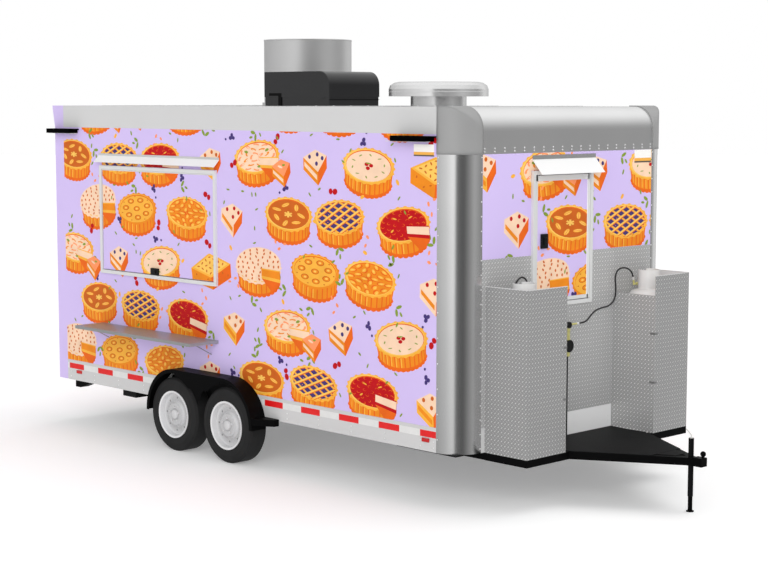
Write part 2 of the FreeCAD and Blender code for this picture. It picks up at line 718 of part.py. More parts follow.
# Serving hatch on the kerb side, its frame and its shelf.
def serving_side():
    rear, front = f"({FRONT} - hatch_front - hatch_width)", f"({FRONT} - hatch_front)"
    low, high = "hatch_bottom", f"(hatch_bottom + {HATCH_HEIGHT})"
    proud = (f"-{SIDE} - frame_proud", f"-{SIDE}")
    ring = box("hatch_ring_blank", (rear, front), proud, (low, high))
    hole = box("hatch_ring_hole", (f"{rear} + frame_member", f"{front} - frame_member"),
               (f"-{SIDE} - 2 * frame_proud", SIDE),
               (f"{low} + frame_member", f"{high} - frame_member"))
    inset = "(frame_member + leaf_gap)"
    hinge_line = (f"{rear} + {inset}", f"-{SIDE} - leaf_proud", f"{high} - {inset}")
    leaf_length = f"hatch_width - 2 * {inset}"
    barrel = cylinder("serving_hinge", hinge_line, "hinge_radius", leaf_length, "x")
    node("serving_hatch_frame", fuse("hatch_ring", cut("hatch_ring_sheet", ring, hole), barrel))
    leaf = box("serving_leaf_blank", (f"{rear} + {inset}", f"{front} - {inset}"),
               (f"-{SIDE} - leaf_proud", f"wall_gauge - {SIDE} - leaf_proud"),
               (f"{low} + {inset}", f"{high} - {inset}"))
    groove = cylinder("serving_groove", hinge_line, "hinge_radius + seat_gap", leaf_length, "x")
    node("serving_hatch", cut("serving_leaf", leaf, groove))

    under = "(shelf_top - shelf_gauge)"
    plate = box("shelf_plate", (rear, front), (f"-{SIDE} - shelf_reach", f"-{SIDE}"),
                (under, "shelf_top"))
    stays = []
    drop = "sqrt(stay_foot_drop * stay_foot_drop + stay_head * stay_head)"
    for place, at in (("rear", f"{rear} + stay_inset"), ("front", f"{front} - stay_inset")):
        stay = cylinder(f"shelf_stay_{place}", (at, f"-{SIDE} - stay_head", f"{under} + stay_radius / 2"),
                        "stay_radius", f"{drop} - stay_radius")
        stay.Placement.Rotation = FreeCAD.Rotation(FreeCAD.Vector(-1, 0, 0), 1)
        bind(stay, "Placement.Rotation.Angle", "90 deg + atan(stay_foot_drop / stay_head)")
        stays.append(stay)
    node("serving_shelf", fuse("shelf_with_stays", plate, *stays))

    top = f"({high} + side_visor_rise)"
    visor = prism("side_visor", "YZ_Plane",
                  [(f"-{SIDE}", top),
                   (f"-{SIDE} - side_visor_reach", f"{top} - side_visor_drop"),
                   (f"-{SIDE} - side_visor_reach + visor_gauge", f"{top} - side_visor_drop"),
                   (f"-{SIDE}", f"{top} - 2 * visor_gauge")],
                  f"{rear} - side_visor_over", "hatch_width + side_visor_over + frame_member")
    low_y = "(front_hatch_low - front_visor_over + front_visor_shift)"
    top = f"(front_hatch_bottom + {FRONT_HATCH_HEIGHT} + front_visor_rise)"
    front_visor = prism("front_visor", "XZ_Plane",
                        [(FRONT, top),
                         (f"{FRONT} + front_visor_reach", f"{top} - front_visor_drop"),
                         (f"{FRONT} + front_visor_reach - visor_gauge", f"{top} - front_visor_drop"),
                         (FRONT, f"{top} - 2 * visor_gauge")],
                        f"-({low_y} + front_hatch_width + 2 * front_visor_over)",
                        "front_hatch_width + 2 * front_visor_over")
    node("visors", together("visor_pair", visor, front_visor))


def front_side():
    low, high = "front_hatch_bottom", f"(front_hatch_bottom + {FRONT_HATCH_HEIGHT})"
    right, left = "front_hatch_low", "(front_hatch_low + front_hatch_width)"
    ring = box("front_ring_blank", (FRONT, f"{FRONT} + frame_proud"), (right, left), (low, high))
    hole = box("front_ring_hole", (f"{FRONT} - frame_proud", f"{FRONT} + 2 * frame_proud"),
               (f"{right} + frame_member", f"{left} - frame_member"),
               (f"{low} + frame_member", f"{high} - frame_member"))
    inset = "(frame_member + leaf_gap)"
    hinge_line = (f"{FRONT} + leaf_proud", f"{left} - {inset}", f"{low} + {inset}")
    leaf_length = f"{FRONT_HATCH_HEIGHT} - 2 * {inset}"
    barrel = cylinder("front_hinge", hinge_line, "hinge_radius", leaf_length)
    node("front_hatch_frame", fuse("front_ring", cut("front_ring_sheet", ring, hole), barrel))
    leaf = box("front_leaf_blank", (f"{FRONT} + leaf_proud - wall_gauge", f"{FRONT} + leaf_proud"),
               (f"{right} + {inset}", f"{left} - {inset}"), (f"{low} + {inset}", f"{high} - {inset}"))
    groove = cylinder("front_groove", hinge_line, "hinge_radius + seat_gap", leaf_length)
    node("front_hatch", cut("front_leaf", leaf, groove))
    guard = box("guard_blank", (FRONT, GUARD_FACE), (f"-{POST_SIDE}", POST_SIDE), (SKIRT_TOP, "guard_top"))
    space = box("guard_space", (f"{FRONT} - frame_proud", f"{FRONT} + frame_proud"), (right, left),
                (low, "guard_top + frame_proud"))
    node("stoneguard", cut("guard_sheet", guard, space))


def rear_side():
    half = "(door_width / 2)"
    leaf = box("door_leaf_blank", (REAR, f"{REAR} + door_gauge"),
               (f"door_offset - {half}", f"door_offset + {half}"),
               (f"{SKIRT_TOP} + sill_height", f"{SKIRT_TOP} + sill_height + {DOOR_HEIGHT}"))
    groove = cylinder("door_groove", DOOR_HINGE, "hinge_radius + seat_gap", DOOR_HEIGHT)
    node("entry_door", cut("door_leaf", leaf, groove))
    middle = "(skirt_bottom + skirt_height / 2)"
    lamp = box("lamp_left", (f"{REAR} - lamp_depth", REAR),
               (f"{SIDE} - lamp_inset - lamp_width / 2", f"{SIDE} - lamp_inset + lamp_width / 2"),
               (f"{middle} - lamp_height / 2", f"{middle} + lamp_height / 2"))
    node("rear_lamps", together("lamp_pair", lamp, mirrored("lamp_right", lamp)))


# Gas cages, cylinders and what carries the gas.
def cages():
    def cage(name):
        level = ("skirt_bottom", "cage_top")
        blank = box(name + "_blank", (GUARD_FACE, CAGE_FRONT), ("cage_inner", "cage_outer"), level)
        space = box(name + "_space", (FRONT, f"{CAGE_FRONT} - plate_gauge"),
                    ("cage_inner + plate_gauge", "cage_outer - plate_gauge"),
                    ("skirt_bottom + plate_gauge", "cage_top + plate_gauge"))
        low = box(name + "_low", (FRONT, f"{CAGE_FRONT} - plate_gauge"),
                  ("cage_inner - plate_gauge", "cage_inner + 2 * plate_gauge"),
                  ("cage_low_side", "cage_top + plate_gauge"))
        return cut(name, blank, space, low)

    node("cage_left", cage("cage_left_plates"))
    grommet = cylinder("grommet_hole", (f"{FRONT} + hose_standoff", "-cage_inner - frame_bar",
                                        "grommet_height"), "hose_grommet", "2 * frame_bar", "y")
    node("cage_right", cut("cage_right_drilled", mirrored("cage_right_plates", cage("cage_right_source")),
                           grommet))

    floor_level = "(skirt_bottom + plate_gauge + seat_gap)"
    outline = [("0", "0.03 * cylinder_rise"), ("0.7 * cylinder_radius", "0.03 * cylinder_rise"),
               ("0.7 * cylinder_radius", "0"), ("0.76 * cylinder_radius", "0"),
               ("0.76 * cylinder_radius", "0.035 * cylinder_rise"),
               ("0.95 * cylinder_radius", "0.06 * cylinder_rise"),
               ("cylinder_radius", "0.095 * cylinder_rise"),
               ("cylinder_radius", "cylinder_rise - 0.62 * cylinder_radius"),
               ("0.95 * cylinder_radius", "cylinder_rise - 0.38 * cylinder_radius"),
               ("0.76 * cylinder_radius", "cylinder_rise - 0.16 * cylinder_radius"),
               ("0.4 * cylinder_radius", "cylinder_rise - 0.03 * cylinder_radius"),
               ("0", "cylinder_rise")]
    spot = (f"{FRONT} + cylinder_standoff", "cylinder_offset", floor_level)
    tank = revolved("tank_left", outline, spot)
    collar_low = f"({floor_level} + cylinder_rise - 0.16 * cylinder_radius)"
    collar_height = f"collar_top - {collar_low}"
    ring = cut("collar_ring",
               cylinder("collar_outer", (spot[0], spot[1], collar_low), "collar_radius", collar_height),
               cylinder("collar_hollow", (spot[0], spot[1], collar_low),
                        "collar_radius - 2 * plate_gauge", collar_height),
               box("collar_gap", (f"{spot[0]} - 2 * collar_radius", spot[0]),
                   ("cylinder_offset - collar_mouth / 2", "cylinder_offset + collar_mouth / 2"),
                   (f"{floor_level} + cylinder_rise", f"collar_top + collar_mouth")))
    bottle = fuse("gas_cylinder_left", tank, ring)
    node("gas_cylinders", together("gas_cylinder_pair", bottle, mirrored("gas_cylinder_right", bottle)))

    fittings = []
    for side, sign in (("left", 1), ("right", -1)):
        y = f"({sign} * cylinder_offset)"
        plane = f"({FRONT} + hose_standoff)"
        base = f"({floor_level} + cylinder_rise + seat_gap)"
        valve = cylinder(f"valve_{side}", (spot[0], y, base), "2 * fitting_radius",
                         f"valve_height + 3 * fitting_radius - {base}")
        outlet = cylinder(f"outlet_{side}", (plane, y, "valve_height"), "fitting_radius + plate_gauge",
                          f"{spot[0]} - {plane}", "x")
        union = sphere(f"union_{side}", (plane, y, "valve_height"), "fitting_radius + 2 * plate_gauge")
        elbow_y = f"(cylinder_offset - union_shift)" if side == "left" else y
        swivel = sphere(f"swivel_{side}", (plane, elbow_y, "valve_height"), "fitting_radius + plate_gauge")
        ferrule = cylinder(f"ferrule_{side}", (plane, elbow_y, "valve_height"), "fitting_radius + 1",
                           "ferrule_length")
        ferrule.Placement.Rotation = FreeCAD.Rotation(FreeCAD.Vector(sign, 0, 0), 1)
        bind(ferrule, "Placement.Rotation.Angle", f"90 - lean_{side}")
        parts = [valve, outlet, union, swivel, ferrule]
        if side == "left":
            parts.append(cylinder("union_arm", (plane, elbow_y, "valve_height"), "fitting_radius",
                                  "union_shift", "y"))
        fittings.append(fuse(f"valve_set_{side}", *parts))
    plane = f"({FRONT} + hose_standoff)"
    column_low = "(regulator_height + regulator_radius + seat_gap)"
    fittings.append(cylinder("column", (plane, "-regulator_offset", column_low), "fitting_radius",
                             f"changeover_height - changeover_radius - seat_gap - {column_low}"))
    for side, sign in (("left", 1), ("right", -1)):
        face = "(changeover_radius + seat_gap)"
        low, reach = (face, "arm_reach") if sign > 0 else ("-elbow_reach", "elbow_reach")
        arm = cylinder(f"elbow_arm_{side}", (plane, f"-regulator_offset + {low}", "changeover_height"),
                       "fitting_radius", f"{reach} - {face}", "y")
        if sign > 0:
            fittings.append(arm)
            continue
        end = (plane, "-elbow_reach - regulator_offset", "changeover_height")
        corner = sphere("elbow_corner", end, "fitting_radius")
        drop = cylinder("elbow_fall", (end[0], end[1], "changeover_height - elbow_drop"),
                        "fitting_radius", "elbow_drop")
        fittings.append(fuse("elbow_right", arm, corner, drop))
    stub_low = "(regulator_height - regulator_radius - seat_gap - stub_length)"
    fittings.append(cylinder("outlet_stub", (plane, "-regulator_offset", stub_low), "fitting_radius",
                             "stub_length"))
    node("gas_fittings", together("gas_fitting_set", *fittings))

    back = f"({plane} - regulator_depth / 2)"
    post_start = f"({GUARD_FACE})"
    regulator = fuse("regulator_body",
                     cylinder("regulator_drum", (back, "-regulator_offset", "regulator_height"),
                              "regulator_radius", "regulator_depth", "x"),
                     cylinder("regulator_post", (post_start, "-regulator_offset", "regulator_height"),
                              "fitting_radius + plate_gauge", f"{plane} - {post_start}", "x"))
    changeover = cylinder("changeover_drum", (back, "-regulator_offset", "changeover_height"),
                          "changeover_radius", "regulator_depth", "x")
    deck_top = "(skirt_bottom + deck_gauge)"
    pipe = cylinder("gas_pipe", (plane, "-regulator_offset", deck_top), "gas_pipe_radius",
                    f"{stub_low} - {deck_top}")
    node("regulator", together("regulator_set", regulator, changeover, pipe))


# Hoses: each route is (Y, Z) in one plane ahead of the front wall.
def hose_path(points):
    """Straight runs joined by tangent arcs, each as large as its two runs allow."""
    edges = []
    start = points[0]
    length = 0
    radii = []
    for before, corner, after in zip(points, points[1:], points[2:]):
        incoming = (corner - before)
        outgoing = (after - corner)
        short_run = min(incoming.Length, outgoing.Length)
        turn = incoming.getAngle(outgoing)
        tangent = 0.45 * short_run
        radii.append(tangent / math.tan(turn / 2))
        arc_start = corner - FreeCAD.Vector(incoming).normalize() * tangent
        arc_end = corner + FreeCAD.Vector(outgoing).normalize() * tangent
        inward = (FreeCAD.Vector(outgoing).normalize() - FreeCAD.Vector(incoming).normalize()).normalize()
        middle = corner + inward * (radii[-1] / math.cos(turn / 2) - radii[-1])
        edges.append(Part.LineSegment(start, arc_start).toShape())
        edges.append(Part.Arc(arc_start, middle, arc_end).toShape())
        length += (arc_start - start).Length + radii[-1] * turn
        start = arc_end
    edges.append(Part.LineSegment(start, points[-1]).toShape())
    length += (points[-1] - start).Length
    return Part.Wire(edges), length, radii


def hose(side, route):
    plane = number(f"{FRONT} + hose_standoff")
    radius = number("hose_radius")
    points = [FreeCAD.Vector(plane, y, z) for y, z in route]
    path, length, radii = hose_path(points)
    heading = points[1] - points[0]
    ring = Part.Wire([Part.Circle(points[0], heading, radius).toShape()])
    tube = path.makePipeShell([ring], True, True)
    piece = doc.addObject("Part::Feature", f"hose_{side}_tube")
    piece.Shape = tube
    node(f"hose_{side}", piece)
    print(f"hose_{side}: length {length:.1f} mm, smallest bend {min(radii):.1f} mm,"
          f" volume ratio {tube.Volume / (math.pi * radius * radius * length):.4f}")


def hose_start(side, sign, inward):
    """Where a hose leaves the ferrule at its gas cylinder, and the ferrule's direction."""
    lean = math.radians(number(f"lean_{side}"))
    heading = FreeCAD.Vector(-sign * math.cos(lean), math.sin(lean), 0)
    reach = number("ferrule_length")
    start = FreeCAD.Vector(sign * number("cylinder_offset") - sign * inward, number("valve_height"), 0)
    start += heading * reach
    return start, heading


def hoses():
    meeting, level = -number("regulator_offset"), number("changeover_height")
    start, heading = hose_start("left", 1, number("union_shift"))
    second = start + heading * 52
    hose("left", [(start.x, start.y), (second.x, second.y), (672, 1744), (600, 1760), (525, 1748),
                  (488, 1690), (504, 1600), (497, 1505), (420, 1452), (310, 1447), (215, 1425),
                  (135, 1356), (70, level), (meeting + number("arm_reach"), level)])
    start, heading = hose_start("right", -1, 0)
    second = start + heading * 75
    end = (meeting - number("elbow_reach"), level - number("elbow_drop"))
    hose("right", [(start.x, start.y), (second.x, second.y), (-671, 1780), (-598, 1729), (-602, 1610),
                   (-601, 1480), (-595, 1360), (-583, 1272), (-545, 1240), (-480, 1224), (-380, 1208),
                   (-285, 1192), (-224, 1196), (end[0], end[1] - 63), end])


# Running gear.
def running_gear():
    bead = "bead_radius"
    tyre = [
        (bead, "0.06 * tyre_width"), ("tyre_radius - 3.5 * tyre_bulge", "0"),
        ("tyre_radius - tyre_bulge", "0.06 * tyre_width"), ("tyre_radius", "0.16 * tyre_width"),
        ("tyre_radius", "0.84 * tyre_width"), ("tyre_radius - tyre_bulge", "0.94 * tyre_width"),
        ("tyre_radius - 3.5 * tyre_bulge", "tyre_width"), (bead, "0.94 * tyre_width"),
    ]
    well = "(bead_radius - seat_gap)"
    near, far = "(0.06 * tyre_width - flange_seat)", "(0.94 * tyre_width + flange_seat)"
    rim = [
        (well, near), ("flange_radius", near), ("flange_radius", "3"), (f"{well} - 6", "5"),
        (f"{well} - 14", "50"), ("112", "50"), ("96", "24"), ("40", "24"), ("36", "14"), ("0", "14"),
        ("0", "55 + drum_depth"), ("drum_radius", "55 + drum_depth"), ("drum_radius", "57"),
        (f"{well} - 10", "57"), (f"{well} - 6", f"{far} + 2"), ("flange_radius", f"{far} + 8"),
        ("flange_radius", far), (well, far),
    ]
    for side, sign, tilt in (("left", 1, 90), ("right", -1, -90)):
        for row, along in (("front", AXLE_FRONT), ("rear", AXLE_REAR)):
            centre = (along, f"{sign} * {WHEEL_FACE}", "tyre_radius")
            node(f"tyre_{row}_{side}", revolved(f"tyre_{row}_{side}_body", tyre, centre, tilt))
            node(f"rim_{row}_{side}", revolved(f"rim_{row}_{side}_body", rim, centre, tilt))

    hub_face = f"({WHEEL_FACE} - 55 - drum_depth - seat_gap)"
    tubes = []
    leaves = []
    for row, along in (("front", AXLE_FRONT), ("rear", AXLE_REAR)):
        tubes.append(cylinder(f"axle_tube_{row}", (along, f"-{hub_face}", "tyre_radius"),
                              "axle_tube_radius", f"2 * {hub_face}", "y"))
        pivot = "(tyre_radius + axle_tube_radius + seat_gap + leaf_gauge + leaf_radius)"
        ring = cut(f"leaf_ring_{row}",
                   cylinder(f"leaf_outer_{row}", (along, FRAME_INNER, pivot), "leaf_radius + leaf_gauge",
                            "frame_bar", "y"),
                   cylinder(f"leaf_inner_{row}", (along, FRAME_INNER, pivot), "leaf_radius",
                            "frame_bar", "y"))
        span = box(f"leaf_span_{row}", (f"{along} - {LEAF_HALF}", f"{along} + {LEAF_HALF}"),
                   (FRAME_INNER, FRAME_OUTER), ("tyre_radius", "skirt_bottom"))
        leaf = common(f"leaf_{row}_left", ring, span)
        leaves += [leaf, mirrored(f"leaf_{row}_right", leaf)]
    node("axles", together("axle_pair", *tubes))
    node("leaf_springs", together("leaf_set", *leaves))


# Tandem fenders: round ends, a flat top, an outer lip that dips between the wheels, and a step.
def fenders():
    fore = f"({AXLE_FRONT} - fender_centre_drop)"
    aft = f"({AXLE_REAR} + fender_centre_drop)"
    across = (SIDE, f"{SIDE} + fender_reach")
    top = "(fender_rise + fender_radius)"

    inner_y = (f"{SIDE} - fender_reach", f"{SIDE} + fender_reach - fender_gauge")
    through = (f"{SIDE} - fender_reach", f"{SIDE} + 2 * fender_reach")
    arch = "(fender_radius - fender_lip)"
    tall = "3 * fender_reach"
    windows = [cylinder("arch_fore", (fore, through[0], "fender_rise"), arch, tall, "y"),
               cylinder("arch_aft", (aft, through[0], "fender_rise"), arch, tall, "y")]
    below = box("fender_below", (f"{aft} - 2 * fender_radius", f"{fore} + 2 * fender_radius"), through,
                ("-fender_radius", "fender_rise - fender_lip / 4"))
    sheet_metal = cut("fender_sheet", hump("fender_outer", "fender_radius", across),
                      hump("fender_inner", "(fender_radius - fender_gauge)", inner_y), *windows, below)
    toe = f"({fore} + fender_radius)"
    step = prism("fender_step", "XY_Plane",
                 [(f"{toe} - 2 * fender_gauge", SIDE), (f"{toe} + step_length", SIDE),
                  (f"{toe} + step_length", f"{SIDE} + step_toe"),
                  (f"{toe} - 2 * fender_gauge", f"{SIDE} + fender_reach")],
                 "step_top - step_depth", "step_depth")
    trimmed_step = cut("fender_step_trimmed", step,
                       cylinder("step_trim", (fore, through[0], "fender_rise"),
                                "fender_radius - fender_gauge / 2", tall, "y"))
    fender = fuse("fender_left", sheet_metal, trimmed_step)
    node("fenders", together("fender_pair", fender, mirrored("fender_right", fender)))


# Roof: cooler, exhaust fan and mushroom vent.
def roof_units():
    rear = f"({FRONT} - cooler_setback - cooler_length / 2)"
    front = f"({rear} + cooler_length)"
    side = ("-cooler_width / 2", "cooler_width / 2")
    pan_side = ("cooler_pan_inset - cooler_width / 2", "cooler_width / 2 - cooler_pan_inset")
    top = "(roof_height + cooler_height)"
    pan_top = "(roof_height + cooler_pan)"
    pan = box("cooler_pan_block", (f"{rear} + cooler_pan_inset", f"{front} - cooler_pan_inset"), pan_side,
              ("roof_height", pan_top))
    lid_long = box("cooler_lid_long", (rear, front), side, (pan_top, f"{top} - cooler_nose"))
    lid_tall = box("cooler_lid_tall", (rear, f"{front} - cooler_nose"), side, (pan_top, top))
    nose_edge = cylinder("cooler_nose_edge", (f"{front} - cooler_nose", "-cooler_width / 2",
                                              f"{top} - cooler_nose"), "cooler_nose", "cooler_width", "y")
    node("roof_cooler", fuse("cooler_shroud", pan, lid_long, lid_tall, nose_edge))

    x, y = f"({FRONT} - fan_setback)", "fan_offset"
    deck = "(roof_height + curb_height)"
    rim_top = "(roof_height + fan_height)"
    wheel_low = f"({deck} + wheel_lift)"
    wheel_high = f"({wheel_low} + blade_height)"
    motor_low = f"({wheel_high} + 2 * blade_gauge + motor_clearance)"
    band = cut("windband",
               cylinder("windband_outer", (x, y, deck), "fan_radius", f"{rim_top} - {deck}"),
               cylinder("windband_inner", (x, y, deck), "fan_radius - fan_gauge",
                        f"{rim_top} - {deck}"))
    curb = cylinder("fan_curb", (x, y, "roof_height"), "curb_radius", "curb_height")
    motor = cylinder("fan_motor", (x, y, motor_low), "motor_radius", "motor_height")
    dome = sphere("fan_motor_dome", (x, y, f"{motor_low} + motor_height - 2 * motor_radius / 5"),
                  "motor_radius")
    dome_trim = box("fan_dome_trim", (f"{x} - 2 * motor_radius", f"{x} + 2 * motor_radius"),
                    (f"{y} - 2 * motor_radius", f"{y} + 2 * motor_radius"),
                    (f"{motor_low} - 2 * motor_radius", motor_low))
    shaft = cylinder("fan_shaft", (x, y, f"{wheel_high} + 2 * blade_gauge + seat_gap"), "shaft_radius",
                     "motor_clearance + blade_gauge")
    reach = "(fan_radius - fan_gauge / 2)"
    strut_level = (f"{motor_low} + strut_width", f"{motor_low} + 2 * strut_width")
    struts = [box("fan_strut_long", (f"{x} - {reach}", f"{x} + {reach}"),
                  (f"{y} - strut_width / 2", f"{y} + strut_width / 2"), strut_level),
              box("fan_strut_cross", (f"{x} - strut_width / 2", f"{x} + strut_width / 2"),
                  (f"{y} - {reach}", f"{y} + {reach}"), strut_level)]
    node("fan_housing", fuse("fan_casing", band, curb, motor, cut("fan_dome", dome, dome_trim), shaft,
                             *struts))

    body = doc.addObject("PartDesign::Body", "fan_wheel_body")
    plate = sketch_in(body, "back_plate_circle", "XY_Plane")
    plate.addGeometry(Part.Circle(FreeCAD.Vector(), FreeCAD.Vector(0, 0, 1), number("wheel_radius")), False)
    plate.addConstraint(Sketcher.Constraint("Coincident", 0, 3, -1, 1))
    held = plate.addConstraint(Sketcher.Constraint("Radius", 0, number("wheel_radius")))
    plate.renameConstraint(held, "rim")
    bind(plate, "Constraints.rim", "wheel_radius")
    bind(plate, "AttachmentOffset.Base.z", "blade_height")
    disc = body.newObject("PartDesign::Pad", "back_plate")
    disc.Profile = plate
    bind(disc, "Length", "2 * blade_gauge")
    hub_sketch = sketch_in(body, "hub_circle", "XY_Plane")
    hub_sketch.addGeometry(Part.Circle(FreeCAD.Vector(), FreeCAD.Vector(0, 0, 1), number("fan_hub_radius")),
                           False)
    hub_sketch.addConstraint(Sketcher.Constraint("Coincident", 0, 3, -1, 1))
    held = hub_sketch.addConstraint(Sketcher.Constraint("Radius", 0, number("fan_hub_radius")))
    hub_sketch.renameConstraint(held, "rim")
    bind(hub_sketch, "Constraints.rim", "fan_hub_radius")
    hub = body.newObject("PartDesign::Pad", "hub")
    hub.Profile = hub_sketch
    bind(hub, "Length", "blade_height + blade_gauge")
    blade_sketch = sketch_in(body, "blade_outline", "XY_Plane")
    draw_outline(blade_sketch, [("blade_inner", "-blade_gauge / 2"),
                                ("wheel_radius - blade_gauge", "blade_inner / 2 - blade_gauge / 2"),
                                ("wheel_radius - blade_gauge", "blade_inner / 2 + blade_gauge / 2"),
                                ("blade_inner", "blade_gauge / 2")])
    blade = body.newObject("PartDesign::Pad", "blade")
    blade.Profile = blade_sketch
    bind(blade, "Length", "blade_height + blade_gauge")
    doc.recompute()
    blades = body.newObject("PartDesign::PolarPattern", "blades")
    blades.Originals = [blade]
    blades.Axis = (blade_sketch, ["N_Axis"])
    blades.Angle = 360
    blades.Occurrences = 10
    body.Tip = blades
    for letter, place in zip("xyz", (x, y, wheel_low)):
        bind(body, f"Placement.Base.{letter}", place)
    node("fan_wheel", body)

    vent = revolved("roof_vent_body",
                    [("0", "0"), ("vent_neck_radius", "0"), ("vent_neck_radius", "vent_cap_low"),
                     ("vent_cap_radius", "vent_cap_low"),
                     ("vent_cap_radius", "vent_cap_low + 0.5 * vent_cap_height"),
                     ("0.97 * vent_cap_radius", "vent_cap_low + 0.76 * vent_cap_height"),
                     ("0.89 * vent_cap_radius", "vent_cap_low + 0.94 * vent_cap_height"),
                     ("0.8 * vent_cap_radius", "vent_cap_low + vent_cap_height"),
                     ("0", "vent_cap_low + vent_cap_height")],
                    (f"{FRONT} - vent_setback", "0", "roof_height"))
    node("roof_vent", vent)


# Flood lights under the kerb-side rail, and the tank under the floor.
def lights_and_tank():
    top = f"({RAIL_BOTTOM} - light_drop)"
    bars = []
    for place, front in (("fore", f"({POST_BACK} - leaf_gap)"), ("aft", f"({REAR} + light_length)")):
        rear = f"({front} - light_length)"
        reach = (f"-{SIDE} - light_reach", f"-{SIDE}")
        flange = box(f"light_flange_{place}", (rear, front), reach, (f"{top} - light_flange", top))
        bar = box(f"light_body_{place}", (rear, f"{front} - 2 * light_flange"), reach,
                  (f"{top} - light_flange - light_depth", f"{top} - light_flange"))
        bars.append(fuse(f"light_{place}", flange, bar))
    node("light_bars", together("light_pair", *bars))
    front = f"({FRONT} - tank_setback)"
    node("water_tank", box("tank_block", (f"{front} - tank_length", front),
                           (f"tank_inset - {SIDE}", f"-{FRAME_OUTER} - seat_gap"),
                           ("tank_bottom", f"{FLOOR_BOTTOM} - crossmember_depth - seat_gap")))


chassis()
stabilizers()
tongue()
jack()
floor()
side_walls()
shell()
nose()
skirts()
serving_side()
front_side()
rear_side()
cages()
hoses()
running_gear()
fenders()
roof_units()
lights_and_tank()
doc.recompute()

faults = [f"{item.Name}: {item.State}" for item in doc.Objects if "Invalid" in item.State or "Error" in item.State]
for name, piece in nodes:
    if piece.Shape.isNull() or not piece.Shape.isValid() or not piece.Shape.Solids:
        faults.append(f"{name}: no valid solid")
if faults:
    raise RuntimeError("\n".join(faults))

os.makedirs("parts", exist_ok=True)
for name, piece in nodes:
    piece.Shape.exportStep(f"parts/{name}.step")
print(f"{len(nodes)} sub-parts written")
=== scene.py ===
import bpy
import json
import math
from math import pi, sin, cos, radians
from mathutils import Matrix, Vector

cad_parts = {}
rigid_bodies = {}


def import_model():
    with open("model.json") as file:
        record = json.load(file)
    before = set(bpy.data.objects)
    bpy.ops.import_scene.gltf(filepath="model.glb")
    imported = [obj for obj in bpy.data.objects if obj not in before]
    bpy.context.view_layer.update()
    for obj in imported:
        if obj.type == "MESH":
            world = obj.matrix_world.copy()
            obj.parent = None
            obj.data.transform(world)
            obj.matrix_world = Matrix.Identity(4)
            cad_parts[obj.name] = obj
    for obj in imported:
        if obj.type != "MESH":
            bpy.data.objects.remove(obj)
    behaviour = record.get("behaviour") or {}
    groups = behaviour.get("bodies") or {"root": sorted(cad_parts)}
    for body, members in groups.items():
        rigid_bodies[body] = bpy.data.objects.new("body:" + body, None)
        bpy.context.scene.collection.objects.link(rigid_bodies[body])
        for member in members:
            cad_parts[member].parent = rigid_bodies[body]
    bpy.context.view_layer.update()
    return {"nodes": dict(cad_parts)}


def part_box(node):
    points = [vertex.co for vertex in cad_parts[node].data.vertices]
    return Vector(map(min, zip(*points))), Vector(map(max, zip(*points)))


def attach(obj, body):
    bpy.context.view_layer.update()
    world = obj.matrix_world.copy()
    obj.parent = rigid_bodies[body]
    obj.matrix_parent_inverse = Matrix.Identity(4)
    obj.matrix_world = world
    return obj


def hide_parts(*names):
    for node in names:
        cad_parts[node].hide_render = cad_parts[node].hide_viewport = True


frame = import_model()

# Camera, light and floor
# A pale studio floor under a soft white sky. The sky seen in polished metal is brighter on the
# left of the camera and has a dark band beside it, as a studio with one side curtained.


def begin():
    """Leaves edit mode and selects nothing, so that the next operator acts on its own piece."""
    if bpy.context.object and bpy.context.object.mode != "OBJECT":
        bpy.ops.object.mode_set(mode="OBJECT")
    bpy.ops.object.select_all(action="DESELECT")


def shade(material, *kinds):
    """Adds shader nodes of these kinds and gives them back, and last the call that links them."""
    tree = material.node_tree
    return [tree.nodes.new(f"ShaderNode{kind}") for kind in kinds] + [tree.links.new]


def put(node, **values):
    """Sets a shader node's sockets by name, with an underscore for each space."""
    for socket, value in values.items():
        node.inputs[socket.replace("_", " ")].default_value = value


def greys(ramp, *stops):
    """Gives a colour ramp its greys, each as a place and a level."""
    elements = ramp.color_ramp.elements
    for index, (place, level) in enumerate(stops):
        stop = elements[index] if index < 2 else elements.new(place)
        stop.position, stop.color = place, (level, level, level, 1.0)


def blank_material(name):
    """A new material, and its main shader."""
    material = bpy.data.materials.new(name)
    material.use_nodes = True
    return material, material.node_tree.nodes["Principled BSDF"]


begin()
bpy.ops.object.camera_add(location=(7.633, -10.711, 3.124),
                          rotation=(radians(83.8115), radians(-0.033), radians(45.7468)))
camera = bpy.context.object
camera.data.lens, camera.data.sensor_width = 80.78, 36.0
camera.data.clip_end = 400.0
bpy.context.scene.camera = camera
bpy.context.scene.view_settings.view_transform = "Standard"

full_white = (1.0, 1.0, 1.0, 1.0)
sky = bpy.data.worlds.new("studio_sky")
sky.use_nodes = True
bpy.context.scene.world = sky
sky.node_tree.nodes.clear()
way, split, turn, around, high_bands, low_bands, fall, lift, join = shade(
    sky, "TexCoord", "SeparateXYZ", "Math", "MapRange", "ValToRGB", "ValToRGB", "MapRange",
    "ValToRGB")
drop, mix, pick, behind, seen, glow, out, join = shade(
    sky, "Mix", "Mix", "Mix", "Mix", "LightPath", "Background", "OutputWorld")
turn.operation = "ARCTAN2"
put(around, From_Min=-pi, From_Max=pi)
put(fall, From_Min=-0.20, From_Max=-0.05)
greys(high_bands, (0.0, 0.50), (0.10, 0.55), (0.128, 0.60), (0.24, 0.80), (0.325, 1.15),
      (0.345, 0.14), (0.42, 0.09), (0.47, 0.24), (0.53, 0.46), (0.60, 0.30), (0.66, 0.24),
      (0.73, 0.85), (0.80, 0.60), (0.90, 0.50))
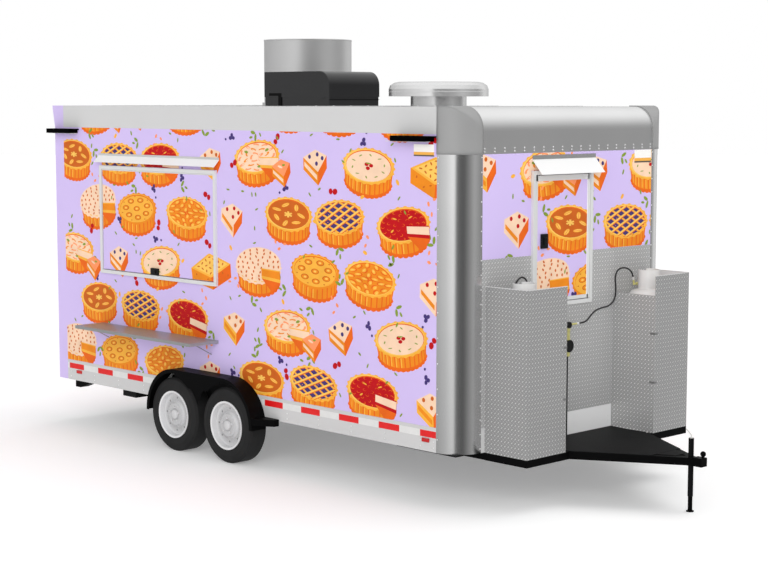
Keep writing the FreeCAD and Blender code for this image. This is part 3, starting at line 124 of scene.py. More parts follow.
greys(low_bands, (0.0, 0.40), (0.10, 0.32), (0.128, 0.33), (0.24, 0.42), (0.325, 0.62),
      (0.345, 0.14), (0.42, 0.09), (0.47, 0.22), (0.53, 0.36), (0.60, 0.28), (0.66, 0.22),
      (0.73, 0.70), (0.80, 0.50), (0.90, 0.40))
greys(lift, (0.10, 0.0), (0.75, 1.0))
for blend in (drop, mix, pick, behind):
    blend.data_type = "RGBA"
put(mix, B=full_white)
put(pick, A=(0.50, 0.50, 0.50, 1.0))
put(behind, B=full_white)
for source, target in (
        (way.outputs["Generated"], split.inputs[0]), (split.outputs["Y"], turn.inputs[0]),
        (split.outputs["X"], turn.inputs[1]), (turn.outputs[0], around.inputs["Value"]),
        (around.outputs["Result"], high_bands.inputs["Fac"]),
        (around.outputs["Result"], low_bands.inputs["Fac"]),
        (split.outputs["Z"], fall.inputs["Value"]),
        (fall.outputs["Result"], drop.inputs["Factor"]),
        (low_bands.outputs["Color"], drop.inputs["A"]),
        (high_bands.outputs["Color"], drop.inputs["B"]),
        (split.outputs["Z"], lift.inputs["Fac"]), (lift.outputs["Color"], mix.inputs["Factor"]),
        (drop.outputs["Result"], mix.inputs["A"]), (mix.outputs["Result"], pick.inputs["B"]),
        (seen.outputs["Is Glossy Ray"], pick.inputs["Factor"]),
        (seen.outputs["Is Camera Ray"], behind.inputs["Factor"]),
        (pick.outputs["Result"], behind.inputs["A"]),
        (behind.outputs["Result"], glow.inputs["Color"]), (glow.outputs[0], out.inputs[0])):
    join(source, target)

for name, power, width, lean in (("soft_sun", 0.95, 46, (radians(-20), radians(9), 0)),
                                 ("front_fill", 1.72, 50, (radians(74), 0, radians(43)))):
    bpy.ops.object.light_add(type="SUN", rotation=lean)
    sun = bpy.context.object
    sun.name, sun.data.energy, sun.data.angle = name, power, radians(width)
    sun.visible_glossy = False

bpy.ops.mesh.primitive_circle_add(vertices=96, radius=90.0, fill_type="NGON", location=(0, 0, 0))
floor = bpy.context.object
floor.name = "studio_floor"
paper, shader = blank_material("studio_paper")
grain, tint, join = shade(paper, "TexNoise", "ValToRGB")
put(grain, Scale=3.0)
greys(tint, (0.0, 0.90), (1.0, 0.93))
join(grain.outputs["Fac"], tint.inputs["Fac"])
join(tint.outputs["Color"], shader.inputs["Base Color"])
put(shader, Roughness=0.9, Specular_IOR_Level=0.0, Emission_Color=full_white,
    Emission_Strength=0.23)
floor.data.materials.append(paper)
floor.visible_glossy = False

# Gas hoses
# Two rubber pigtail hoses, one from each gas cylinder, that meet at the regulator on the
# stone guard. They hang in loose bows and end in crimped collars.


def finish(name, colour, rough, metal=0.0, tone=0.05, patch=4.0, grain=90.0, relief=0.02,
           coat=0.0, shine=0.5):
    """A surface whose colour drifts a little from place to place, and whose gloss is uneven."""
    material, shader = blank_material(name)
    place, drift, hue, fine, gloss, bump, join = shade(
        material, "TexCoord", "TexNoise", "ValToRGB", "TexNoise", "MapRange", "Bump")
    put(drift, Scale=patch, Detail=4.0)
    put(fine, Scale=grain, Detail=3.0)
    dark, light = hue.color_ramp.elements
    dark.position, light.position = 0.3, 0.7
    dark.color = (*[c * (1 - tone) for c in colour], 1)
    light.color = (*[min(1.0, c * (1 + tone)) for c in colour], 1)
    put(gloss, To_Min=max(0.02, rough - 0.05), To_Max=min(1.0, rough + 0.05))
    put(bump, Strength=relief, Distance=0.002)
    put(shader, Metallic=metal, Coat_Weight=coat, Coat_Roughness=0.08, Specular_IOR_Level=shine)
    for texture in (drift, fine):
        join(place.outputs["Object"], texture.inputs["Vector"])
    join(drift.outputs["Fac"], hue.inputs["Fac"])
    join(hue.outputs["Color"], shader.inputs["Base Color"])
    join(fine.outputs["Fac"], gloss.inputs["Value"])
    join(gloss.outputs["Result"], shader.inputs["Roughness"])
    join(fine.outputs["Fac"], bump.inputs["Height"])
    join(bump.outputs["Normal"], shader.inputs["Normal"])
    return material


def wear(material, *nodes):
    """Gives CAD nodes their finish."""
    for name in nodes:
        frame["nodes"][name].data.materials.clear()
        frame["nodes"][name].data.materials.append(material)


def fix(piece, name, body, slot, *materials):
    """Names a finished piece, settles its place into its mesh and lets it ride."""
    begin()
    bpy.context.view_layer.objects.active = piece
    piece.select_set(True)
    bpy.ops.object.transform_apply(location=True, rotation=True, scale=True)
    piece.name = piece.data.name = name
    if materials:
        piece.data.materials.clear()
        for material in materials:
            piece.data.materials.append(material)
    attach(piece, body)
    return piece


hose_plane, hose_size = -1.140, 0.014
hose_routes = {
    "hose_left": (1.0425, [(0.7371, 1.6492), (0.7263, 1.7000), (0.672, 1.744), (0.600, 1.760),
                           (0.525, 1.748), (0.488, 1.690), (0.504, 1.600), (0.497, 1.505),
                           (0.420, 1.452), (0.310, 1.447), (0.215, 1.425), (0.135, 1.356),
                           (0.070, 1.345), (0.005, 1.345)]),
    "hose_right": (1.1973, [(-0.7742, 1.6487), (-0.7548, 1.7212), (-0.671, 1.780),
                            (-0.598, 1.729), (-0.602, 1.610), (-0.601, 1.480), (-0.595, 1.360),
                            (-0.583, 1.272), (-0.545, 1.240), (-0.480, 1.224), (-0.380, 1.208),
                            (-0.285, 1.192), (-0.224, 1.196), (-0.186, 1.246), (-0.186, 1.309)]),
}
hose_rubber = finish("hose_rubber", (0.018, 0.018, 0.019), 0.5, tone=0.15, grain=400, relief=0.1)
for name, (length, route) in hose_routes.items():
    line = bpy.data.curves.new(name + "_line", "CURVE")
    line.dimensions, line.bevel_depth, line.bevel_resolution = "3D", hose_size / 2, 3
    line.use_fill_caps, line.resolution_u = True, 8
    run = line.splines.new("NURBS")
    run.points.add(len(route) - 1)
    for point, (across, high) in zip(run.points, route):
        point.co = (hose_plane, across, high, 1.0)
    run.order_u, run.use_endpoint_u = 3, True
    hose = bpy.data.objects.new(name + "_rubber", line)
    bpy.context.scene.collection.objects.link(hose)
    line.materials.append(hose_rubber)
    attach(hose, "trailer")
    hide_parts(name)

# Body skin
# Insulated wall panels, leaves and rear posts: aluminium sheet outside in a glossy lavender
# vinyl, white washable board inside. The vinyl shows on whatever lies in an outer face.


def sums(material):
    """Arithmetic on a material's values, one step at a time."""
    def of(operation, first, second=0.0):
        node, link = shade(material, "Math")
        node.operation = operation
        for socket, value in zip(node.inputs, (first, second)):
            if isinstance(value, (int, float)):
                socket.default_value = value
            else:
                link(value, socket)
        return node.outputs[0]
    return of


def extent(node):
    """The lowest and the highest corner of a CAD node, to a tenth of a millimetre."""
    return [[round(c, 4) for c in corner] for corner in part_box(node)]


(wall_back, _, skirt_top), (wall_fore, side_face, rail_low) = extent("wall_left")
nose_face, rear_face = extent("front_wall")[1][0], extent("rear_posts")[0][0]
vinyl_depth = 0.0005
skin, shader = blank_material("lavender_vinyl")
place, axes, drift, hue, cover, fine, bump, join = shade(
    skin, "TexCoord", "SeparateXYZ", "TexNoise", "ValToRGB", "Mix", "TexNoise", "Bump")
of = sums(skin)
join(place.outputs["Object"], axes.inputs[0])
outside = of("MAXIMUM",
             of("GREATER_THAN", of("ABSOLUTE", axes.outputs["Y"]), side_face - vinyl_depth),
             of("MAXIMUM", of("GREATER_THAN", axes.outputs["X"], nose_face - vinyl_depth),
                of("LESS_THAN", axes.outputs["X"], rear_face + vinyl_depth)))
put(drift, Scale=1.5)
hue.color_ramp.elements[0].color = (0.590, 0.480, 0.810, 1)
hue.color_ramp.elements[1].color = (0.640, 0.528, 0.850, 1)
join(place.outputs["Object"], drift.inputs["Vector"])
join(drift.outputs["Fac"], hue.inputs["Fac"])
cover.data_type = "RGBA"
put(cover, A=(0.78, 0.79, 0.78, 1.0))
join(outside, cover.inputs["Factor"])
join(hue.outputs["Color"], cover.inputs["B"])
join(cover.outputs["Result"], shader.inputs["Base Color"])
put(fine, Scale=260.0)
put(bump, Strength=0.03, Distance=0.001)
join(place.outputs["Object"], fine.inputs["Vector"])
join(fine.outputs["Fac"], bump.inputs["Height"])
join(bump.outputs["Normal"], shader.inputs["Normal"])
put(shader, Roughness=0.45, Specular_IOR_Level=0.12)
wear(skin, "wall_left", "wall_right", "front_wall", "rear_wall", "rear_posts", "serving_hatch",
     "front_hatch", "entry_door")

# Printed bakes
# Pies, tarts, slices and sprigs printed on the vinyl. Each motif is drawn once, lying flat, in
# passes of ink that build up by a hair, then copied over the walls and trimmed at each edge.
inks = {
    "bake": (0.81, 0.248, 0.012), "crust": (0.88, 0.43, 0.050), "gold": (0.92, 0.55, 0.11),
    "deep": (0.78, 0.13, 0.008), "cream": (0.89, 0.625, 0.44), "berry": (0.50, 0.004, 0.008),
    "plum": (0.060, 0.038, 0.170), "leaf": (0.23, 0.32, 0.04), "caramel": (0.58, 0.12, 0.012),
    "blush": (0.93, 0.30, 0.12),
}
ink_order = list(inks)
ink_finishes = [finish("ink_" + name, colour, 0.45, tone=0.06, patch=9.0, grain=260, relief=0.01,
                       shine=0.12) for name, colour in inks.items()]
first_pass, one_pass = 0.0002, 0.00002
motifs = {}


def lay_ink(ink):
    """Raises the outline just drawn by one more pass and gives it its ink."""
    sheet = bpy.context.object
    sheet["passes"] += 1
    bpy.ops.mesh.extrude_region_move(
        TRANSFORM_OT_translate={"value": (0, 0, sheet["start"] + one_pass * sheet["passes"])})
    bpy.ops.mesh.select_linked()
    sheet.active_material_index = ink_order.index(ink)
    bpy.ops.object.material_slot_assign()


def print_spot(ink, across, up, wide, high, corners=14, turn=0.0, lean=None):
    """A round, leaf-shaped or four-cornered patch. With lean it lies on a top seen at a slant."""
    at = (across, up, -first_pass)
    bar = corners == 4
    bpy.ops.mesh.primitive_circle_add(vertices=corners, radius=0.7071 if bar else 0.5,
                                      fill_type="NGON", location=at,
                                      rotation=(0, 0, pi / 4 if bar else 0))
    bpy.ops.transform.resize(value=(wide, high, 1), center_override=at)
    if turn:
        bpy.ops.transform.rotate(value=turn, orient_axis="Z", center_override=at)
    if lean:
        bpy.ops.transform.resize(value=(lean[0], lean[1], 1), center_override=(0, 0, 0))
        bpy.ops.transform.translate(value=(0, lean[2], 0))
    lay_ink(ink)


def print_patch(ink, *corners):
    """A patch with straight sides: a blank trimmed along each. Corners run anticlockwise."""
    middle = [sum(c[i] for c in corners) / len(corners) for i in (0, 1)]
    bpy.ops.mesh.primitive_circle_add(vertices=8, radius=0.6, fill_type="NGON",
                                      location=(*middle, -first_pass))
    for (ax, ay), (bx, by) in zip(corners, corners[1:] + corners[:1]):
        bpy.ops.mesh.bisect(plane_co=(ax, ay, 0), plane_no=(by - ay, ax - bx, 0),
                            clear_outer=True)
        bpy.ops.mesh.select_linked()
    lay_ink(ink)


def open_motif(name, start=first_pass):
    """An empty sheet, open for its first pass of ink."""
    begin()
    bpy.ops.mesh.primitive_circle_add(vertices=3, radius=0.1)
    sheet = bpy.context.object
    sheet.name, sheet["start"], sheet["passes"] = name, first_pass + start, 0
    for material in ink_finishes:
        sheet.data.materials.append(material)
    bpy.ops.object.mode_set(mode="EDIT")
    bpy.ops.mesh.select_all(action="SELECT")
    bpy.ops.mesh.delete(type="VERT")


def close_motif():
    """Takes the finished motif off the floor and keeps it under its name."""
    sheet = bpy.context.object
    bpy.ops.mesh.select_all(action="SELECT")
    bpy.ops.mesh.normals_make_consistent(inside=False)
    bpy.ops.object.mode_set(mode="OBJECT")
    bpy.context.scene.collection.objects.unlink(sheet)
    motifs[sheet.name] = sheet


top = (0.245, 0.158, 0.050)      # half width, half height and rise of a bake's round top


def round_bake(name, filling, rim="crust", flutes=13, side="bake"):
    """The fluted side, the crimped rim and the filling, seen from in front and above."""
    open_motif(name)
    foot, depth = -0.095, 0.130
    for lobe in range(flutes):
        angle = (lobe + 0.5) / flutes * pi
        print_spot("deep", 0.208 * cos(angle), foot - depth * sin(angle) + 0.006, 0.060, 0.050, 8)
    print_spot("deep", 0, foot, 0.450, 2 * depth, 24)
    print_patch(side, (-0.222, foot), (0.222, foot), (0.243, 0.045), (-0.243, 0.045))
    print_spot(side, 0, foot + 0.016, 0.444, 2 * depth - 0.006, 24)
    for flute in range(1, flutes):
        angle = flute / flutes * pi
        low = foot - depth * sin(angle) + 0.012
        high = top[2] - top[1] * sin(angle)
        print_spot("deep" if side == "bake" else "bake", 0.229 * cos(angle), (low + high) / 2,
                   0.005 + 0.007 * sin(angle), max(0.02, high - low), 4)
        if 0 > cos(angle) > -0.95:
            print_spot("crust", 0.229 * cos(angle) + 0.012 * sin(angle), (low + high) / 2,
                       0.012 * sin(angle), max(0.015, (high - low) * 0.8), 4)
    for crimp in range(22):
        on_top(rim, 0.97, crimp * 2 * pi / 22, 0.17, 0.19, 8)
    print_spot(rim, 0, top[2], 2.02 * top[0], 2.02 * top[1], 28)
    print_spot("gold" if rim == "crust" else "crust", -0.006, top[2] + 0.006, 1.90 * top[0],
               1.90 * top[1], 26)
    print_spot("deep", 0.002, top[2] + 0.004, 1.80 * top[0], 1.78 * top[1], 26)
    print_spot(filling, 0.0, top[2] - 0.001, 1.76 * top[0], 1.72 * top[1], 26)


def on_top(ink, ring, angle, wide, high, corners=8, turn=0.0):
    """A patch on a bake's round top, placed by its ring and its angle."""
    print_spot(ink, ring * cos(angle), ring * sin(angle), wide, high, corners, turn, top)


def cut_out(inside, base="crust"):
    """Where a slice has been taken from the right-hand front: the far wall and the floor."""
    print_patch("deep", (0.035, -0.055), (0.150, -0.195), (0.232, -0.120), (0.236, -0.080))
    print_patch(base, (0.035, -0.055), (0.238, -0.095), (0.238, 0.020), (0.035, 0.045))
    print_patch(inside, (0.035, -0.028), (0.238, -0.062), (0.238, 0.010), (0.035, 0.036))


def slice_at(across, up, size, face, inside, lid):
    """A slice standing on its own: crust at the back, cut face in front and its top."""
    def spots(*points):
        return [(across + x * size, up + y * size) for x, y in points]
    print_patch("deep", *spots((0.02, -0.16), (0.10, -0.02), (0.10, 0.08), (0.02, -0.05)))
    print_patch(face, *spots((-0.11, -0.03), (0.02, -0.16), (0.02, -0.05), (-0.11, 0.07)))
    print_patch(inside, *spots((-0.10, 0.000), (0.01, -0.115), (0.01, -0.075), (-0.10, 0.035)))
    print_patch(lid, *spots((-0.11, 0.07), (0.02, -0.05), (0.10, 0.08), (0.00, 0.13)))


round_bake("seeded_bun", "cream", rim="cream")
print_spot("cream", 0, 0.082, 0.500, 0.330, 28)
for drip in range(9):
    angle = (drip + 0.5) / 9 * pi
    print_spot("cream", 0.225 * cos(angle), 0.070 - 0.150 * sin(angle), 0.055, 0.060, 8)
for ring, count in ((0.0, 1), (0.25, 5), (0.48, 10), (0.70, 14), (0.90, 18)):
    for seed in range(count):
        angle = seed * 2 * pi / count + ring
        print_spot("caramel", 0.250 * ring * cos(angle), 0.080 + 0.160 * ring * sin(angle), 0.017,
                   0.030, 6, 0.5 * sin(seed * 2.1))
cut_out("bake")
close_motif()

round_bake("plum_lattice", "plum")
for berry in range(22):
    on_top("plum" if berry % 3 else "blush", 0.2 + 0.028 * berry, berry * 2.4, 0.04, 0.05, 6)
for lay in (-1, 1):
    for bar in (-0.66, -0.33, 0.0, 0.33, 0.66):
        long = 2 * math.sqrt(0.80 - bar * bar)
        across, up = bar * cos(pi / 4), bar * sin(pi / 4) * -lay
        print_spot("deep", across + 0.02, up - 0.03, 0.100, long, 4, lay * pi / 4, top)
        print_spot("crust" if lay < 0 else "gold", across, up, 0.090, long, 4, lay * pi / 4, top)
close_motif()

round_bake("cream_tart", "cream", flutes=15)
for leaf in range(10):
    on_top("leaf", 0.64, leaf * 0.63 + 0.2, 0.06, 0.17, 6, leaf * 1.3)
for angle in (0.4, 2.2, 4.6):
    on_top("berry", 0.12, angle, 0.17, 0.22)
on_top("leaf", 0.16, pi / 2, 0.22, 0.09, 6)
close_motif()

round_bake("apple_rose", "cream")
for ring, count, ink in ((0.76, 12, "blush"), (0.50, 8, "bake"), (0.22, 5, "blush")):
    for petal in range(count):
        angle = petal * 2 * pi / count + ring * 2
        on_top(ink, ring, angle, 0.13, 0.30, 8, angle + 0.5)
        on_top("cream", ring - 0.05, angle, 0.06, 0.20, 6, angle + 0.5)
for leaf in (0.6, 2.4, 4.9):
    on_top("leaf", 0.60, leaf, 0.15, 0.22, 6, leaf)
cut_out("cream")
slice_at(0.262, -0.125, 0.92, "bake", "cream", "blush")
print_spot("cream", 0.250, -0.075, 0.06, 0.022, 6, 0.5)
print_spot("leaf", 0.288, -0.062, 0.035, 0.022, 6)
close_motif()

round_bake("berry_tart", "berry")
for ring, count in ((0.0, 1), (0.30, 6), (0.56, 11), (0.78, 16)):
    for fruit in range(count):
        angle = fruit * 2 * pi / count + ring * 3
        on_top("deep", ring, angle, 0.14, 0.16, 7)
        on_top("berry", ring - 0.01, angle - 0.03, 0.125, 0.14, 7)
for leaf in (0.9, 2.2, 3.7):
    on_top("crust", 0.5, leaf, 0.08, 0.20, 6, leaf)
cut_out("cream", "berry")
close_motif()

round_bake("leaf_pie", "caramel", flutes=15)
for leaf in range(7):
    angle = leaf * 2 * pi / 7
    on_top("crust", 0.56, angle, 0.19, 0.42, 8, angle - 0.9)
    on_top("gold", 0.55, angle, 0.12, 0.34, 8, angle - 0.9)
    on_top("deep", 0.56, angle, 0.02, 0.32, 4, angle - 0.9)
for ray in range(3):
    on_top("gold", 0.0, 0.0, 0.09, 0.36, 4, ray * pi / 3)
close_motif()

round_bake("coin_pie", "crust", rim="bake")
for ring, count in ((0.0, 1), (0.58, 7)):
    for coin in range(count):
        angle = coin * 2 * pi / count + 0.3
        on_top("caramel", ring, angle, 0.34, 0.34, 12)
        on_top("bake", ring + 0.01, angle, 0.26, 0.26, 11)
        on_top("gold", ring, angle + 0.02, 0.13, 0.13, 8)
for dot in range(7):
    on_top("caramel", 0.80, dot * 2 * pi / 7 + 0.75, 0.07, 0.07, 6)
close_motif()

round_bake("crumble_pie", "bake")
for ring, count in ((0.74, 13), (0.46, 8), (0.18, 4)):
    for crumb in range(count):
        angle = crumb * 2 * pi / count + ring
        on_top("deep", ring, angle, 0.32, 0.22, 8, angle)
        on_top("crust", ring + 0.03, angle + 0.03, 0.27, 0.15, 8, angle)
        on_top("gold", ring + 0.04, angle + 0.04, 0.14, 0.06, 6, angle)
close_motif()

open_motif("square_bake")
print_patch("deep", (0.000, -0.190), (0.225, -0.085), (0.230, 0.050), (0.000, -0.060))
print_patch("bake", (-0.225, -0.085), (0.000, -0.190), (0.000, -0.060), (-0.230, 0.050))
print_patch("crust", (-0.230, 0.050), (-0.010, -0.064), (0.010, -0.064), (0.230, 0.050),
            (0.010, 0.172), (-0.010, 0.172))
print_patch("gold", (-0.195, 0.052), (0.000, -0.045), (0.195, 0.052), (0.000, 0.156))
for row in range(4):
    for spot in range(4):
        print_spot("caramel", (spot - row) * 0.046, 0.138 - (row + spot) * 0.027, 0.034, 0.015, 6,
                   row * 1.1 + spot * 0.7)
for across, up in ((-0.17, -0.02), (-0.10, -0.10), (-0.04, -0.08), (0.06, -0.11), (0.13, -0.03),
                   (0.19, -0.06)):
    print_spot("caramel", across, up, 0.026, 0.014, 6, across * 9)
close_motif()

for name, face, filling, lid, ink in (("berry_slice", "cream", "bake", "cream", "berry"),
                                      ("plum_slice", "bake", "cream", "cream", "plum"),
                                      ("seeded_slice", "crust", "bake", "cream", "caramel")):
    open_motif(name)
    slice_at(0, 0, 1.15, face, filling, lid)
    for across, up in ((-0.06, 0.085), (0.02, 0.105), (0.01, 0.020), (0.07, 0.070)):
        print_spot(ink, across, up, 0.030, 0.042, 8)
    close_motif()

for name, ink, marks in (
        ("sprig", "leaf", ((0, 0, 0.028, 0.065, 0.5), (0.045, 0.01, 0.028, 0.065, -0.8),
                           (0.02, -0.05, 0.018, 0.05, 0.2), (-0.06, -0.07, 0.022, 0.04, 1.3))),
        ("sprinkle", "leaf", ((0, 0, 0.014, 0.045, -0.5), (0.10, 0.05, 0.018, 0.036, 0.9))),
        ("red_fruit", "berry", ((0, 0, 0.045, 0.065, 0.2), (0.035, 0.035, 0.04, 0.055, -0.2))),
        ("plum_fruit", "plum", ((0, 0, 0.036, 0.04, 0), (0.032, 0.012, 0.034, 0.036, 0),
                                (0.01, 0.034, 0.03, 0.04, 0), (-0.05, -0.03, 0.02, 0.024, 0))),
        ("crumbs", "blush", ((0, 0, 0.025, 0.04, 0.6), (0.05, -0.05, 0.02, 0.04, -0.4),
                             (-0.05, -0.07, 0.022, 0.036, 1.0))),
        ("nut", "crust", ((0, 0, 0.045, 0.034, 0.4),))):
    open_motif(name, 0.0016)
    for across, up, wide, high, turn in marks:
        print_spot(ink, across, up, wide, high, 8, turn)
    close_motif()

big_turn = ("seeded_bun", "plum_lattice", "cream_tart", "berry_slice", "apple_rose", "coin_pie",
            "berry_tart", "square_bake", "leaf_pie", "plum_slice", "crumble_pie", "seeded_slice")
small_turn = ("sprig", "sprinkle", "red_fruit", "sprinkle", "crumbs", "sprig", "plum_fruit",
              "sprinkle", "nut")


def spread(low, bottom, phase):
    """Where the motifs go on one wall: staggered rows, each bake followed by smaller things."""
    run, rise = 0.68, 0.46
    for row in range(6):
        for column in range(9):
            number = row * 8 + column * 5 + phase
            across = low + 0.30 + column * run + (row % 2) * run / 2 + 0.03 * sin(number * 1.9)
            up = bottom + 0.12 + row * rise + 0.03 * cos(number * 2.3)
            yield big_turn[number % 12], across, up, 0.11 * sin(number * 2.7) + 0.03
            yield small_turn[number % 9], across + 0.33, up + 0.10 * sin(number), number
            yield small_turn[(number + 4) % 9], across + 0.27, up + 0.22, number * 2
            yield small_turn[(number + 7) % 9], across - 0.05, up + 0.25, number * 3


def trim_along(corners, **settings):
    """Cuts all of the open mesh along each side of an outline. Corners run anticlockwise."""
    for (ax, ay), (bx, by) in zip(corners, corners[1:] + corners[:1]):
        bpy.ops.mesh.select_all(action="SELECT")
        bpy.ops.mesh.bisect(plane_co=(ax, ay, 0), plane_no=(by - ay, ax - bx, 0),
                            clear_outer=True, **settings)


print_scale, big_reach, small_reach = (1.18, 0.88, 1.0), 0.42, 0.15


def print_panel(name, body, turn, face, low, phase, panes):
    """Lays a wall's motifs out flat, trims a copy to each pane and stands the print up on it."""
    trimmed = []
    for corners in panes:
        begin()
        laid = []
        left, right = min(c[0] for c in corners), max(c[0] for c in corners)
        bottom, high = min(c[1] for c in corners), max(c[1] for c in corners)
        for kind, across, up, slant in spread(low, skirt_top, phase):
            reach = big_reach if kind in big_turn else small_reach
            if left - reach < across < right + reach and bottom - reach < up < high + reach:
                twin = bpy.data.objects.new("laid", motifs[kind].data.copy())
                twin.location, twin.rotation_euler = (across, up, 0), (0, 0, slant)
                twin.scale = print_scale
                bpy.context.scene.collection.objects.link(twin)
                twin.select_set(True)
                laid.append(twin)
        if not laid:
            continue
        bpy.context.view_layer.objects.active = laid[0]
        bpy.ops.object.join()
        bpy.ops.object.transform_apply(location=True, rotation=True, scale=True)
        bpy.ops.object.mode_set(mode="EDIT")
        trim_along(corners, use_fill=True)
        bpy.ops.object.mode_set(mode="OBJECT")
        if bpy.context.object.data.polygons:
            trimmed.append(bpy.context.object)
        else:
            bpy.data.objects.remove(bpy.context.object)
    begin()
    for cell in trimmed:
        cell.select_set(True)
    bpy.context.view_layer.objects.active = trimmed[0]
    if len(trimmed) > 1:
        bpy.ops.object.join()
    sheet = bpy.context.object
    sheet.rotation_euler = (pi / 2, 0, turn)
    sheet.location = face
    return fix(sheet, name, body, "wrap")


def pane(left, right, bottom, high):
    return [(left, bottom), (right, bottom), (right, high), (left, high)]


def outline(node, axis, gap):
    """A CAD node's left, right, bottom and top on its wall, each moved out by a gap."""
    low, high = extent(node)
    return low[axis] - gap, high[axis] + gap, low[2] - gap, high[2] + gap


def mirrored(sign, near, far):
    """Two distances from the middle as a low and a high coordinate, on either side."""
    return sorted((sign * near, sign * far))


# The print keeps clear of every edge, and stands proud of its wall by the thickness of the ink.
inset, ink_proud = 0.001, 0.0001
print_low, print_high = skirt_top + inset, rail_low - inset
print_back, print_fore = wall_back + inset, wall_fore - inset
# The mudguard's two arcs: how far back their middles lie, their height, radius and half run.
arc_middles, arc_height, arc_radius, arc_end = (4.562, 3.877), 0.346, 0.397, 0.286
arch_line = 0.800


def over_arc(middle, first, last):
    """Narrow panes that end in steps of slope along the mudguard's arc, centred on middle."""
    edges = [first + (last - first) * i / 7 for i in range(8)]
    bottoms = [max(print_low, arc_height + math.sqrt(max(0.0, arc_radius ** 2 - (x - middle) ** 2)))
               for x in edges]
    return [[(a, p), (b, q), (b, arch_line), (a, arch_line)]
            for a, b, p, q in zip(edges, edges[1:], bottoms, bottoms[1:])]


def round_arches(sign):
    """The lowest panes of a side wall: behind, before and between the mudguard's two arcs."""
    rear_arc, front_arc = arc_middles
    behind = mirrored(sign, -print_back, rear_arc + arc_end)
    before = mirrored(sign, -print_fore, front_arc - arc_end)
    return [pane(*behind, print_low, arch_line), pane(*before, print_low, arch_line),
            pane(*mirrored(sign, *arc_middles), arc_height + arc_radius, arch_line),
            *over_arc(sign * rear_arc, *mirrored(sign, rear_arc, rear_arc + arc_end)),
            *over_arc(sign * front_arc, *mirrored(sign, front_arc, front_arc - arc_end))]


left, right, bottom, high = outline("serving_hatch_frame", 0, 0.003)
print_panel("print_right", "trailer", 0.0, (0, -side_face - ink_proud, 0), -6.56, 0,
            [pane(print_back, left, arch_line, print_high), pane(left, right, arch_line, bottom),
             pane(left, right, high, print_high), pane(right, print_fore, arch_line, print_high),
             *round_arches(-1)])
hatch_face = extent("serving_hatch")[0][1] - ink_proud
print_panel("print_serving_hatch", "serving_hatch", 0.0, (0, hatch_face, 0), -6.56, 0,
            [pane(*outline("serving_hatch", 0, -inset))])
print_panel("print_left", "trailer", pi, (0, side_face + ink_proud, 0), 1.455, 5,
            [pane(-print_fore, -print_back, arch_line, print_high), *round_arches(1)])

guard_top, front_half, front_high = 1.922, 1.048, 2.722
left, right, _, high = outline("front_hatch_frame", 1, 0.003)
print_panel("print_front", "trailer", pi / 2, (nose_face + ink_proud, 0, 0), -1.32, 3,
            [pane(-front_half, left, guard_top, front_high),
             pane(right, front_half, guard_top, front_high), pane(left, right, high, front_high)])
hatch_face = extent("front_hatch")[1][0] + ink_proud
print_panel("print_front_hatch", "front_hatch", pi / 2, (hatch_face, 0, 0), -1.32, 3,
            [pane(*outline("front_hatch", 1, -inset))])

# Seen from behind, the right of the flat sheet is -Y.
rear_half = 1.148
left, right, _, high = outline("entry_door", 1, 0.010)
print_panel("print_rear", "trailer", -pi / 2, (rear_face - ink_proud, 0, 0), -1.50, 8,
            [pane(-rear_half, -right, print_low, print_high),
             pane(-right, -left, high, print_high),
             pane(-left, rear_half, print_low, print_high)])
left, right, bottom, high = outline("entry_door", 1, -inset)
print_panel("print_entry_door", "entry_door", -pi / 2, (rear_face - ink_proud, 0, 0), -1.50, 8,
            [pane(-right, -left, bottom + inset, high - inset)])

# Polished corners
# Rolled aluminium: the two front corner posts and the rounded nose over the front wall, with
# cast caps where they meet. Domed rivets hold their flanges to the walls.


def shape(operation, **settings):
    """Runs one edit-mode operator on the whole of the active piece."""
    bpy.ops.object.mode_set(mode="EDIT")
    bpy.ops.mesh.select_all(action="SELECT")
    operation(**settings)
    bpy.ops.object.mode_set(mode="OBJECT")


def dome(radius, corners, cut, height):
    """A squat dome: a ball cut off under its middle and pressed flat."""
    begin()
    bpy.ops.mesh.primitive_uv_sphere_add(segments=corners, ring_count=corners // 2, radius=radius)
    shape(bpy.ops.mesh.bisect, plane_co=(0, 0, -cut), plane_no=(0, 0, -1), use_fill=True,
          clear_outer=True)
    shape(bpy.ops.transform.resize, value=(1, 1, height), center_override=(0, 0, 0))
    bpy.ops.object.shade_smooth()
    return bpy.context.object


def rivets(name, places, faces, size=0.006):
    """Rivet heads in a seam: one is drawn, and each of the others is a copy with its own mesh."""
    head = dome(size, 8, 0.3 * size, 0.55)
    head.rotation_euler = {"front": (0, pi / 2, 0), "top": (0, 0, 0), "right": (pi / 2, 0, 0),
                           "left": (-pi / 2, 0, 0)}[faces]
    bpy.ops.object.transform_apply(location=False, rotation=True, scale=False)
    begin()
    for place in places:
        twin = bpy.data.objects.new("rivet", head.data.copy())
        twin.location = place
        bpy.context.scene.collection.objects.link(twin)
        twin.select_set(True)
    bpy.context.view_layer.objects.active = twin
    bpy.ops.object.join()
    row = bpy.context.object
    bpy.data.objects.remove(head)
    return fix(row, name, "trailer", "silver", rivet_metal)


def steps(low, high, pitch):
    """Even places from low to high, about a pitch apart."""
    count = max(1, round((high - low) / pitch))
    return [low + (high - low) * i / count for i in range(count + 1)]


